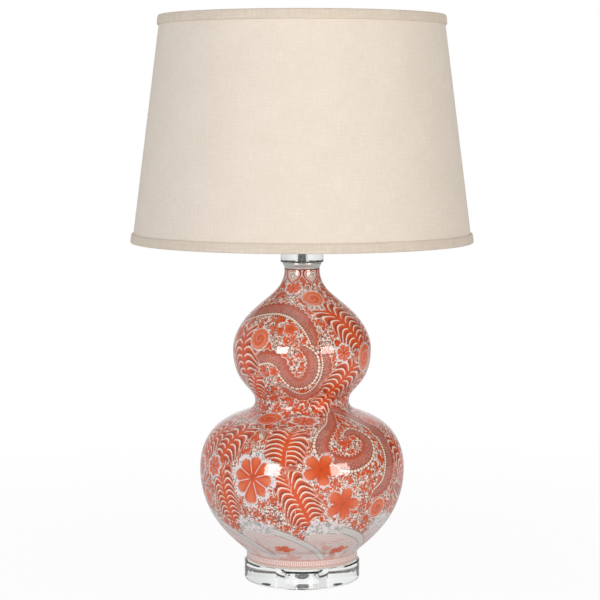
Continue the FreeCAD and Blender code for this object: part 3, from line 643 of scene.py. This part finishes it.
for stops in DRAGONS:
    line = winding(stops)
    for side in (0, 180):
        passed = 0.0
        for here, there in zip(line, line[1:]):
            across, along = offset(here[0] + side, here[1])
            middle = climb_at(here[1])
            local_r = np.interp(middle, outline_climb, outline[:, 0])
            run = Vector((math.radians(there[0] - here[0]) * local_r, climb_at(there[1]) - middle))
            if run.length < 1e-7:
                continue
            ahead = run.normalized()
            forward = across * ahead.x + along * ahead.y
            sideways = across * ahead.y - along * ahead.x
            beyond = np.maximum(np.maximum(-forward, forward - run.length), 0)
            reach = np.hypot(sideways, beyond) / here[2]
            closer = reach < best
            best[closer] = reach[closer]
            signed = np.where(sideways < 0, -1, 1) * reach
            dragon[closer] = np.column_stack([signed, passed + forward, np.full(count, here[2])])[closer]
            passed += run.length
keep("dragon", dragon)


# Overglaze painting: iron red, coral, dusty pink and grey on white porcelain, under a clear glaze.
WHITE = srgb(246, 227, 216)
BEIGE = srgb(216, 176, 156)
CORAL = srgb(206, 82, 44)
ORANGE = srgb(222, 84, 32)
APRICOT = srgb(230, 118, 74)
BRICK = srgb(146, 46, 26)
MAROON = srgb(104, 48, 38)
DUSTY = srgb(178, 92, 74)
ROSE = srgb(222, 150, 132)
CREAM = srgb(250, 222, 202)
MIST = srgb(226, 210, 206)
CLOUD = srgb(216, 213, 209)
LILAC = srgb(236, 228, 229)
SLATE = srgb(124, 114, 110)
SOOT = srgb(74, 50, 44)

porcelain, tree, shader = blank("painted porcelain")
skin_place = own_place(tree)
x, y, z = apart(tree, skin_place)
skin_r = (x * x + y * y).root()


def stored(name):
    """Each point's place on a motif, as kept with the gourd."""
    node = tree.nodes.new("ShaderNodeAttribute")
    node.attribute_name = name
    return apart(tree, node.outputs["Vector"])


def over(under, colour, cover):
    """A colour laid over another where cover is 1."""
    return between(tree, under, colour, cover)


def together(tree, x, y, z):
    node = tree.nodes.new("ShaderNodeCombineXYZ")
    for socket, number in zip(node.inputs, (x, y, z)):
        tree.links.new(number.socket, socket)
    return node.outputs[0]


def strewn(spacing, randomness, ripple=0.0):
    """A loose net of cells on the skin: how far to the right of its cell's middle a point lies, how far above
    it, how far from it, and three random numbers that the cell keeps."""
    cells = tree.nodes.new("ShaderNodeTexVoronoi")
    cells.inputs["Scale"].default_value = 1 / spacing
    cells.inputs["Randomness"].default_value = randomness
    source = skin_place
    if ripple:
        blotch = speckle(tree, skin_place, 2.4 / spacing, 2)
        nudge = tree.nodes.new("ShaderNodeVectorMath")
        nudge.operation = "MULTIPLY_ADD"
        tree.links.new(together(tree, blotch, blotch * -1, blotch), nudge.inputs[0])
        nudge.inputs[1].default_value = (ripple, ripple, ripple)
        tree.links.new(skin_place, nudge.inputs[2])
        source = nudge.outputs[0]
    tree.links.new(source, cells.inputs["Vector"])
    near_x, near_y, near_z = apart(tree, source)
    mid_x, mid_y, mid_z = apart(tree, cells.outputs["Position"])
    beside = ((x * (mid_y - near_y)) - (y * (mid_x - near_x))) / skin_r * -1
    above = near_z - mid_z
    return beside, above, Value(cells.outputs["Distance"]), apart(tree, cells.outputs["Color"])


# Ground of small white curls with dark outlines and dots, on pinkish beige and coral
CURL_SIZE = 0.0046
DOT_SPACING = 0.0026
beside, above, spread, hue = strewn(CURL_SIZE, 0.95)
winds = above.angle(beside) + spread * 11 + hue[2] * 6
scroll = winds.sine()
curl = spread * 0.9 - scroll * 0.24
dot_spread, dot_hue = strewn(DOT_SPACING, 1.0)[2:]
dots = dot_spread.rise(0.42, 0.3) * dot_hue[0].rise(0.3, 0.35)
wide_cloud = speckle(tree, skin_place, 34, 3)
fine_cloud = speckle(tree, skin_place, 420, 2)
ground = between(tree, BEIGE, CORAL, wide_cloud.rise(0.42, 0.54) * 0.9)
ground = over(ground, DUSTY, fine_cloud.rise(0.5, 0.6) * 0.8)
ground = over(ground, MAROON, curl.rise(0.62, 0.54) * 0.9)
ground = over(ground, WHITE, curl.rise(0.48, 0.4))
ground = over(ground, SOOT, dots * 0.9)

# Sprigs of three to six uneven leaves, strewn in the ground
SPRIG_SPACING = 0.0132
SPRIG_R = 0.0108
beside, above, spread, hue = strewn(SPRIG_SPACING, 0.95, 0.0075)
sprig_reach = (beside * beside + above * above).root() / SPRIG_R
bearing = above.angle(beside)
sprig_leaves = (hue[2] * 3 + 3).math("FLOOR")
sprig_lobe = (bearing * sprig_leaves * 0.5 + hue[1] * 3).math("COSINE").size()
sprig_edge = (sprig_lobe * 0.8 + 0.16) * ((bearing + hue[1] * 6).sine() * 0.3 + 0.7)
sprig_there = hue[0].rise(0.06, 0.08)
ground = over(ground, CREAM, (sprig_edge + 0.09 - sprig_reach).rise(0.0, 0.05) * sprig_there * 0.9)
sprig_colour = between(tree, ORANGE, CORAL, fine_cloud.rise(0.4, 0.6))
in_sprig = sprig_edge - sprig_reach
sprig_colour = over(sprig_colour, BRICK, hue[1].rise(0.5, 0.52) * in_sprig.rise(0.3, 0.0) * 0.7)
sprig_colour = over(sprig_colour, BRICK, in_sprig.rise(0.12, 0.02) * 0.6)
ground = over(ground, sprig_colour, in_sprig.rise(0.0, 0.05) * sprig_there)

# Dragons: a band of small scales, darker at its edges, with a row of white plates on one side and fins on
# the other
SCALE_SIZE = 0.0034
PLATE_SIZE = 0.0034
FIN_SIZE = 0.0064
across, along, half = stored("dragon")
from_line = across.size()
net_a = ((along + across * half) * (2 * math.pi / SCALE_SIZE)).sine()
net_b = ((along - across * half) * (2 * math.pi / SCALE_SIZE)).sine()
scales = between(tree, DUSTY, ROSE, (net_a * net_b).rise(-0.1, 0.3))
scales = over(scales, MAROON, (net_a * net_b).rise(-0.2, -0.7) * 0.55)
scales = over(scales, MAROON, dots * 0.5)
scales = over(scales, CORAL, across.rise(-0.35, -0.7) * 0.75)
scales = over(scales, MAROON, from_line.rise(0.86, 0.97) * 0.7)
bead_x = ((along / PLATE_SIZE).part() - 0.5) * 2
bead_y = (across - 1.3) / 0.3
bead = bead_x.power(2) * 0.9 + bead_y.power(2)
belly = across.rise(0.98, 1.04)
fin_lobe = (along * (math.pi / FIN_SIZE)).sine().size() * 0.42
fin = (across + fin_lobe).rise(-1.12, -1.06) * across.rise(-0.98, -1.04)
fin_edge = (across + fin_lobe).rise(-1.26, -1.20) * across.rise(-0.98, -1.04)
painting = over(ground, CREAM, fin_edge)
painting = over(painting, DUSTY, fin)
painting = over(painting, MAROON, belly * across.rise(1.66, 1.58))
painting = over(painting, CREAM, bead.rise(0.95, 0.6))
painting = over(painting, scales, from_line.rise(1.03, 0.97))

# Fronds: leaflets that leave the stem upwards and droop at their tips, each with a cream line along its top
frond_x, frond_y, leaflets = stored("frond")
reach = frond_x.size()
stem_climb = (frond_y + 1) / 2
uprise = reach * (stem_climb.least(1.0).power(3) * 0.28 + 0.42)
rank = (stem_climb - uprise + reach.power(2) * 0.58) * leaflets
leaf_side = rank.part()
leaf_root = (rank.math("FLOOR") + 0.5) / leaflets
leaf_there = leaf_root.rise(0.0, 0.01) * leaf_root.rise(1.0, 0.99)
leaf_length = (leaf_root * (leaf_root * -1 + 1) * 4).most(0.01).power(0.4)
leaf_length = leaf_length * ((leaf_root * 41).sine() * 0.06 + 0.98)
along_leaf = reach / leaf_length
fat = (leaf_side * 2 - 0.75).size().power(2) * 0.75 + along_leaf.power(3.2)
leaf_top = along_leaf.power(2) * -0.16 + 0.74
leaf_colour = between(tree, ORANGE, DUSTY, along_leaf.rise(0.3, 1.0) * 0.6)
leaf_colour = over(leaf_colour, BRICK, leaf_side.rise(0.42, 0.12) * along_leaf.rise(0.1, 0.45) * 0.9)
leaf_line = (leaf_side - leaf_top).rise(-0.05, 0.03) * leaf_side.rise(1.03, 0.98)
leaf_colour = over(leaf_colour, CREAM, leaf_line * reach.rise(0.05, 0.14))
leaflet = fat.rise(1.04, 0.96) * leaf_there
rim = fat.rise(1.2, 1.12) * leaf_there
stem = reach.rise(0.1, 0.07) * stem_climb.rise(-0.06, -0.02) * stem_climb.rise(1.0, 0.95)
painting = over(painting, CREAM, rim * 0.8)
painting = over(painting, leaf_colour, leaflet)
painting = over(painting, ORANGE, stem)

# Sea round the foot: eight grey waves that sweep down to the right over pale ruled water, with foam on each
# crest
WAVES = 8
WAVE_START = 38 / 360
WAVE_BACK = 0.16
CREST = 0.083
RULED_SPACING = 0.0032
FOAM_SIZE = 0.0058
round_turn = x.angle(y * -1) / (2 * math.pi)
wave_run = ((round_turn + WAVE_START) * WAVES + WAVE_BACK).part() - WAVE_BACK
foam_spread = strewn(FOAM_SIZE, 0.9)[2]
coral_cloud = speckle(tree, skin_place, 90, 3)
for period in (0.0, 1.0):
    run = wave_run + period
    fall = run.most(0.0).power(2) * 0.0274 + run.least(0.0).power(2) * 1.2
    over_line = z - CREST + fall
    sea_lines = (over_line * (2 * math.pi / RULED_SPACING) + fine_cloud * 5).sine()
    water = between(tree, MIST, DUSTY, sea_lines.rise(0.45, 0.95) * 0.24)
    water = over(water, CORAL, over_line.rise(-0.013, -0.026) * coral_cloud.rise(0.47, 0.57) * 0.45)
    foam_share = run.rise(0.84, 0.2) * run.rise(-WAVE_BACK, -0.06)
    foam_top = foam_share * 0.0082 + 0.0026
    lace = foam_spread.rise(0.55, 0.3)
    frothy = (foam_top - over_line + (lace - 0.5) * foam_share * 0.0042).rise(0.0, 0.0004)
    painting = over(painting, water, over_line.rise(0.001, 0.0004))
    froth = between(tree, LILAC, CLOUD, foam_spread.rise(0.46, 0.62))
    froth = over(froth, SLATE, foam_spread.rise(0.66, 0.72) * 0.35)
    froth = over(froth, SOOT, dots * 0.6)
    froth_low = foam_share * -0.0062 - 0.0012
    frothy = frothy * (over_line - froth_low).rise(0.0, 0.0004) * foam_share.rise(0.02, 0.06)
    painting = over(painting, froth, frothy)
    painting = over(painting, SLATE, over_line.size().rise(0.0050, 0.0046) * foam_share.rise(0.9, 0.5))
    painting = over(painting, CLOUD, over_line.size().rise(0.0042, 0.0038) * foam_share.rise(0.95, 0.6))

# Flowers: round-ended petals in a pale dotted ring, or a plain disc with a wound heart
flower_x, flower_y, petals = stored("flower")
reach = (flower_x * flower_x + flower_y * flower_y).root()
bearing = flower_y.angle(flower_x)
lobe = (bearing * petals * 0.5).math("COSINE").size()
is_round = petals.rise(0.6, 0.4)
is_star = petals.rise(5.5, 5.4) * is_round.flip()
edge = lobe.power(0.5) * 0.3 + 0.66 - is_star * lobe.flip() * 0.2
edge = edge + (fine_cloud - 0.5) * (is_star * 0.3 + 0.16)
edge = edge + (flower_y * -1 - flower_x.size() * 2.4).rise(0.0, 0.2) * petals.rise(7.5, 7.6) * 0.22
petal = (edge - reach).rise(-0.05, 0.09)
gap = (lobe * reach).rise(0.11, 0.05) * reach.rise(0.12, 0.3) * is_star.flip() * 0.8
wound = ((bearing + reach * 13).sine() * 0.5 + 0.5).rise(0.6, 0.95) * is_round
petal_colour = between(tree, ORANGE, APRICOT, reach.rise(0.2, 0.9))
petal_colour = over(petal_colour, CORAL, lobe.rise(0.9, 0.5) * 0.6)
petal_colour = over(petal_colour, BRICK, reach.rise(0.2, 0.02) * 0.3)
petal_colour = over(petal_colour, CREAM, wound * 0.2)
petal_colour = over(petal_colour, BRICK, fine_cloud.rise(0.6, 0.66) * 0.25)
halo_edge = edge + dot_spread.flip() * 0.16 + (is_round + is_star).flip() * 0.14 + 0.03
halo = (halo_edge - reach).rise(0.0, 0.05)
painting = over(painting, between(tree, LILAC, SOOT, dots * 0.75), halo * 0.95)
painting = over(painting, petal_colour, petal)
painting = over(painting, LILAC, petal * gap * is_round.flip())

# Foot band with a key fret, and a red line at each edge
FRET_LOW = foot_z + 0.0026
BAND_TOP = foot_z + 0.0117
FRET = 0.0072
in_band = z.rise(BAND_TOP, BAND_TOP - 0.0003)
cell_x = ((round_turn * round(2 * math.pi * FOOT_R / FRET)).part() - 0.5) * 2
cell_y = ((z - FRET_LOW) / FRET - 0.5) * 2
square = cell_x.size().most(cell_y.size())
fret = (square * 9.4 + cell_y.angle(cell_x)).sine().rise(-0.1, 0.3) * square.rise(1.0, 0.94)
band = between(tree, srgb(222, 178, 170), srgb(240, 228, 222), fret)
band = over(band, srgb(226, 206, 190), z.rise(FRET_LOW - 0.0002, FRET_LOW - 0.0006))
band = over(band, BRICK, (z - FRET_LOW).size().rise(0.0005, 0.0002) * 0.5)
band = over(band, ROSE, (z - BAND_TOP + 0.0006).size().rise(0.0007, 0.0004) * 0.8)
painting = over(painting, band, in_band)

# Neck band: six cloud heads with their points down, each a red-brown heart in a heart
HEAD_LOW = 0.3565
HEAD_HIGH = 0.3735
CLOUD_HEADS = 6
NECK_TOP = foot_z + NECK[1]
head_x = ((round_turn * CLOUD_HEADS).part() - 0.5) * 2.3
head_y = (z - (HEAD_LOW + HEAD_HIGH) / 2) / ((HEAD_HIGH - HEAD_LOW) / 2)
lobes = head_y * 1.12 - (head_x.size() + 0.0001).root() * 0.62 + 0.05
heart_size = head_x.power(2) + lobes.power(2)
neck = between(tree, BEIGE, CORAL, scroll.rise(-0.2, 0.4) * 0.7)
neck = over(neck, WHITE, heart_size.rise(1.42, 1.34))
neck = over(neck, srgb(172, 58, 44), heart_size.rise(1.24, 1.16))
neck = over(neck, WHITE, heart_size.rise(0.8, 0.72))
neck = over(neck, CORAL, heart_size.rise(0.6, 0.54) * heart_size.rise(0.34, 0.4) * 0.8)
neck = over(neck, SLATE, heart_size.rise(0.2, 0.14) * heart_size.rise(0.04, 0.08) * 0.7)
neck = over(neck, BRICK, z.rise(NECK_TOP - 0.0014, NECK_TOP - 0.0008))
neck_zone = (heart_size.rise(1.42, 1.34) + z.rise(HEAD_HIGH - 0.008, HEAD_HIGH - 0.004)).least(1.0)
painting = over(painting, neck, neck_zone)

tree.links.new(painting, shader.inputs["Base Color"])
shader.inputs["IOR"].default_value = 1.64
orange_peel = speckle(tree, skin_place, 160, 2)
level(tree, orange_peel, 0.02, 0.08, shader.inputs["Roughness"])
relief(tree, shader, orange_peel, 0.00012)
gourd.data.materials.append(porcelain)
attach(gourd, "stand")
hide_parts("gourd_body")


# Neck --------------------------------------------------------------------------------------------------
# A spun cap of satin nickel covers the gourd's rim. A polished acrylic collar stands on it, and over that a
# check ring and a round nut clamp the whole stack on the pipe.


def brushed(name, dark, pale, shine, turned_on_lathe=True):
    """Satin nickel. Brush marks run round a turned piece, and along a drawn one."""
    material, tree, shader = blank(name)
    place = own_place(tree)
    if turned_on_lathe:
        x, y, z = apart(tree, place)
        radius = (x * x + y * y).root()
        marks = speckle(tree, together(tree, y.angle(x) * 0.0012, radius, z), 3200, 3)
    else:
        marks = speckle(tree, place, 2600, 3, (1, 1, 0.03))
    cloud = speckle(tree, place, 130, 3)
    shader.inputs["Metallic"].default_value = 1.0
    tree.links.new(between(tree, dark, pale, cloud * 0.5 + marks * 0.5), shader.inputs["Base Color"])
    level(tree, marks, shine, shine + 0.16, shader.inputs["Roughness"])
    relief(tree, shader, marks, 0.00003)
    return material


turned_nickel = brushed("turned nickel", srgb(196, 194, 190), srgb(222, 220, 216), 0.2)
wear("vase_cap", turned_nickel)
wear("neck_spacer", acrylic)
wear("check_ring", turned_nickel)
wear("seat_nut", turned_nickel)


# Harp --------------------------------------------------------------------------------------------------
# A saddle under the lamp holder takes the two feet of a bent wire harp, with a ferrule over each joint. The
# swivel on top carries the shade and ends in a threaded stud.

drawn_nickel = brushed("drawn nickel", srgb(172, 168, 164), srgb(202, 198, 194), 0.22, turned_on_lathe=False)
for piece in ("harp_saddle", "harp_loop"):
    wear(piece, drawn_nickel)
for piece in ("ferrule_left", "ferrule_right", "harp_swivel"):
    wear(piece, turned_nickel)


# Lamp holder -------------------------------------------------------------------------------------------
# A pressed shell on a domed cap, lined with card. Inside, a moulded core holds two terminal screws, the
# centre contact and a rolled brass screw shell, and a flat key turns the switch.

brass = rolled_steel("brass", srgb(190, 150, 86), srgb(214, 178, 112), 0.24)
wear("holder_cap", turned_nickel)
wear("holder_shell", turned_nickel)
wear("holder_core", black_plastic)
wear("switch_key", black_plastic)
wear("terminal_screws", brass)
wear("centre_contact", brass)

FIBRE = (700, 4, (1, 1, 0.35))
pressed_card = surface(
    "pressed card",
    srgb(138, 116, 86),
    srgb(168, 146, 112),
    tint=FIBRE,
    grain=FIBRE,
    rough=(0.75, 0.95),
    depth=0.00008,
)[0]
wear("holder_sleeve", pressed_card)

SCREW_PITCH = 0.0036
SCREW_DEPTH = 0.0008
SCREW_STEPS = 60
SCREW_TURNS = 72


def rolled_thread(name, node, wall, ends, material):
    """A thin shell with a coarse round thread rolled into its wall, plain for a stretch at its ends."""
    low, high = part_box(node)
    crest_r = high.x
    heights = [low.z + (high.z - low.z) * i / SCREW_STEPS for i in range(SCREW_STEPS + 1)]
    sides = [(crest_r, height) for height in heights]
    sides += [(crest_r - wall, height) for height in reversed(heights)]
    shell = turned(name, sides, SCREW_TURNS, sharp_deg=60)
    for vertex in shell.data.vertices:
        round_turn = math.atan2(vertex.co.y, vertex.co.x) / (2 * math.pi)
        wave = 0.5 + 0.5 * math.cos(2 * math.pi * (vertex.co.z / SCREW_PITCH - round_turn))
        inside = min(1, max(0, (vertex.co.z - low.z) / ends), max(0, (high.z - vertex.co.z) / ends))
        pull = 1 - SCREW_DEPTH * wave * inside / crest_r
        vertex.co.x *= pull
        vertex.co.y *= pull
    shell.data.materials.append(material)
    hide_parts(node)
    return shell


holder_thread = rolled_thread("rolled_screw_shell", "screw_shell", 0.0005, 0.003, brass)
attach(holder_thread, "stand")


# Bulb --------------------------------------------------------------------------------------------------
# An opal glass bulb in a rolled aluminium cap, insulated from its solder tip by a cone of black glass.

aluminium = rolled_steel("aluminium", srgb(186, 186, 184), srgb(212, 212, 210), 0.26)
solder = rolled_steel("solder", srgb(140, 140, 138), srgb(176, 176, 172), 0.4)
wear("lamp_tip", solder)
bulb_thread = rolled_thread("rolled_bulb_cap", "lamp_cap", 0.0006, 0.004, aluminium)
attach(bulb_thread, "bulb")

black_glass = moulded("black glass", srgb(14, 14, 16), srgb(26, 26, 28), 0.08)
wear("lamp_cone", black_glass)

HAZE = (40, 3)
opal, tree, shader = surface(
    "opal glass",
    srgb(236, 235, 230),
    srgb(246, 246, 243),
    tint=HAZE,
    grain=HAZE,
    rough=(0.16, 0.3),
    depth=0.00005,
)
shader.inputs["IOR"].default_value = 1.5
shader.inputs["Subsurface Weight"].default_value = 0.2
shader.inputs["Subsurface Radius"].default_value = (0.01, 0.01, 0.01)
shader.inputs["Subsurface Scale"].default_value = 0.3
wear("lamp_glass", opal)


# Shade -------------------------------------------------------------------------------------------------
# A cone of white styrene, rolled with natural linen that laps over itself down the back. A folded linen tape
# binds each edge round a steel ring, and three arms reach in from the top ring to the harp.

SHADE_TOP_R = 0.1666
SHADE_BOTTOM_R = 0.2007
CLOTH_T = 0.0008
CLOTH_STEPS = 30
SEAM_W = 0.012
SEAM_T = 0.0006
LAP_T = 0.0002
SHADE_TURNS = 360

cloth_low, cloth_high = (corner.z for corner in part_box("shade_cloth"))
shade_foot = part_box("shade_bottom_hem")[0].z
shade_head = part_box("shade_top_hem")[1].z
SHADE_SLOPE = (SHADE_BOTTOM_R - SHADE_TOP_R) / (shade_head - shade_foot)
SHADE_MIDDLE_R = (SHADE_TOP_R + SHADE_BOTTOM_R) / 2


def cone_r(height):
    """Radius of the cloth's outer face."""
    return SHADE_TOP_R + (shade_head - height) * SHADE_SLOPE


def lay_threads(piece):
    """Maps the weave on a piece of the shade, in metres round it from the front and up its side."""
    mesh = piece.data
    points = np.empty(len(mesh.vertices) * 3)
    mesh.vertices.foreach_get("co", points)
    points = points.reshape(-1, 3)
    middles = np.empty(len(mesh.polygons) * 3)
    mesh.polygons.foreach_get("center", middles)
    middles = middles.reshape(-1, 3)
    corner_counts = np.empty(len(mesh.polygons), int)
    mesh.polygons.foreach_get("loop_total", corner_counts)
    corners = np.empty(len(mesh.loops), int)
    mesh.loops.foreach_get("vertex_index", corners)
    at_corner = points[corners]
    middle_turn = np.repeat(np.arctan2(middles[:, 0], -middles[:, 1]), corner_counts)
    turn_there = np.arctan2(at_corner[:, 0], -at_corner[:, 1])
    step = (turn_there - middle_turn + math.pi) % (2 * math.pi) - math.pi
    proud = np.hypot(at_corner[:, 0], at_corner[:, 1]) - cone_r(at_corner[:, 2])
    threads = np.column_stack([(middle_turn + step) * SHADE_MIDDLE_R, at_corner[:, 2] - proud])
    layer = mesh.uv_layers.new(name="weave")
    layer.data.foreach_set("uv", threads.astype(np.float32).ravel())


def linen(name, dark, pale, slub_share, thread, depth):
    """Plain-woven linen, whose threads swell into slubs here and there."""
    material, tree, shader = blank(name)
    laid = tree.nodes.new("ShaderNodeUVMap")
    laid.uv_map = "weave"
    threads = laid.outputs[0]
    u, v = apart(tree, threads)[:2]
    cloud = speckle(tree, threads, 24, 3)
    warp_slubs = speckle(tree, threads, 1 / thread, 2, (1, 0.07, 1))
    weft_slubs = speckle(tree, threads, 1 / thread, 2, (0.07, 1, 1))
    crossing = (u * (math.pi / thread)).sine() * (v * (math.pi / thread)).sine()
    slubs = warp_slubs.rise(0.35, 0.8) * 0.5 + weft_slubs.rise(0.35, 0.8) * 0.5
    amount = cloud * 0.3 + slubs * slub_share + crossing * 0.1 + 0.28
    tree.links.new(between(tree, dark, pale, amount), shader.inputs["Base Color"])
    level(tree, slubs, 0.78, 0.95, shader.inputs["Roughness"])
    shader.inputs["Sheen Weight"].default_value = 0.15
    shader.inputs["Sheen Roughness"].default_value = 0.5
    relief(tree, shader, crossing * 0.4 + slubs, depth)
    return material


natural_linen = linen(
    "natural linen", srgb(216, 201, 184), srgb(241, 231, 218), slub_share=0.5, thread=0.0011, depth=0.00012
)

heights = [cloth_low + (cloth_high - cloth_low) * i / CLOTH_STEPS for i in range(CLOTH_STEPS + 1)]
cloth_rows = [(cone_r(height), height) for height in heights]
cloth_rows += [(cone_r(height) - CLOTH_T, height) for height in reversed(heights)]
cloth = turned("linen_cone", cloth_rows, SHADE_TURNS)
lay_threads(cloth)
cloth.data.materials.append(natural_linen)
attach(cloth, "shade")
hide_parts("shade_cloth")

# The lap: the cloth's turned edge, a doubled strip down the back
seam_low, seam_high = (corner.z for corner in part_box("shade_seam"))
lap = bmesh.new()
bmesh.ops.create_grid(lap, x_segments=12, y_segments=40, size=0.5)
for vertex in lap.verts:
    height = min(seam_low + (seam_high - seam_low) * (vertex.co.y + 0.5), seam_high)
    angle = vertex.co.x * SEAM_W / SHADE_MIDDLE_R
    worn = 1 - abs(vertex.co.x * 2) ** 8
    reach = cone_r(height) + SEAM_T * (0.35 + 0.6 * worn)
    vertex.co = (math.sin(angle) * reach, math.cos(angle) * reach, height)
bmesh.ops.solidify(lap, geom=lap.faces[:], thickness=LAP_T)
bmesh.ops.recalc_face_normals(lap, faces=lap.faces)
seam = finished("linen_lap", lap)
lay_threads(seam)
seam.data.materials.append(natural_linen)
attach(seam, "shade")
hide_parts("shade_seam")

# Hems: corners as (how far proud of the cone, how far in from the edge), in millimetres
HEM_OUTLINE = [
    (-5.9, 6.4), (-5.9, 1.5), (-5.4, 0.5), (-4.4, 0.05), (-1.5, 0.0), (0.5, 0.0), (1.4, 0.2), (2.05, 0.75),
    (2.35, 1.6), (2.48, 3.0), (2.5, 4.6), (2.5, 6.4), (2.46, 8.2), (2.36, 9.6), (2.1, 10.6), (1.5, 11.25),
    (0.8, 11.5), (0.02, 11.3), (0.02, 1.55), (-0.3, 1.5), (-4.9, 1.5), (-5.0, 1.7), (-5.0, 6.6), (-5.3, 7.0),
    (-5.7, 6.9),
]
SLIT_CUTS = (-0.0027, -0.0023, 0.0023, 0.0027)
SLIT_HALF_W = 0.0024
SLIT_TOP = 0.0017
LINING_PROUD = -0.0046
hem_tape = linen(
    "linen tape", srgb(196, 180, 162), srgb(232, 219, 203), slub_share=0.55, thread=0.0017, depth=0.0002
)


def hem(name, node, edge, into, slits=()):
    """A tape folded over an edge of the shade. It is snipped at each slit, where an arm comes in."""
    rows = []
    for proud, rise in HEM_OUTLINE:
        height = edge + into * rise / 1000
        rows.append((cone_r(height) + proud / 1000, height))
    tape = turned(name, rows, SHADE_TURNS, sharp_deg=50)
    shape = bmesh.new()
    shape.from_mesh(tape.data)
    for slit_deg in slits:
        across = Vector((-math.sin(math.radians(slit_deg)), math.cos(math.radians(slit_deg)), 0))
        outward = Vector((math.cos(math.radians(slit_deg)), math.sin(math.radians(slit_deg)), 0))
        for side in SLIT_CUTS:
            everything = shape.verts[:] + shape.edges[:] + shape.faces[:]
            bmesh.ops.bisect_plane(shape, geom=everything, plane_co=across * side, plane_no=across)
        for vertex in shape.verts:
            beside = abs(vertex.co.dot(across)) < SLIT_HALF_W and vertex.co.dot(outward) > 0
            proud = math.hypot(vertex.co.x, vertex.co.y) - cone_r(vertex.co.z)
            if beside and proud < LINING_PROUD and abs(vertex.co.z - edge) > SLIT_TOP:
                vertex.co.z = edge + into * SLIT_TOP
    shape.to_mesh(tape.data)
    shape.free()
    lay_threads(tape)
    tape.data.materials.append(hem_tape)
    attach(tape, "shade")
    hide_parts(node)
    return tape


ARM_DIRECTIONS = (90, 210, 330)
top_hem = hem("top_hem_tape", "shade_top_hem", shade_head, -1, ARM_DIRECTIONS)
bottom_hem = hem("bottom_hem_tape", "shade_bottom_hem", shade_foot, 1)

styrene = surface(
    "white styrene",
    srgb(234, 230, 220),
    srgb(243, 240, 232),
    tint=(30, 2),
    grain=(1500, 2),
    rough=(0.42, 0.58),
    depth=0.00002,
)[0]
wear("shade_liner", styrene)
white_wire = surface(
    "white wire",
    srgb(222, 221, 216),
    srgb(236, 235, 231),
    tint=(70, 3),
    grain=(1200, 2),
    rough=(0.34, 0.5),
    depth=0.00003,
)[0]
wear("shade_bottom_ring", white_wire)
wear("spider", white_wire)


# Finial ------------------------------------------------------------------------------------------------
# A turned knob that screws on the harp's stud and holds the shade down.

wear("finial", turned_nickel)
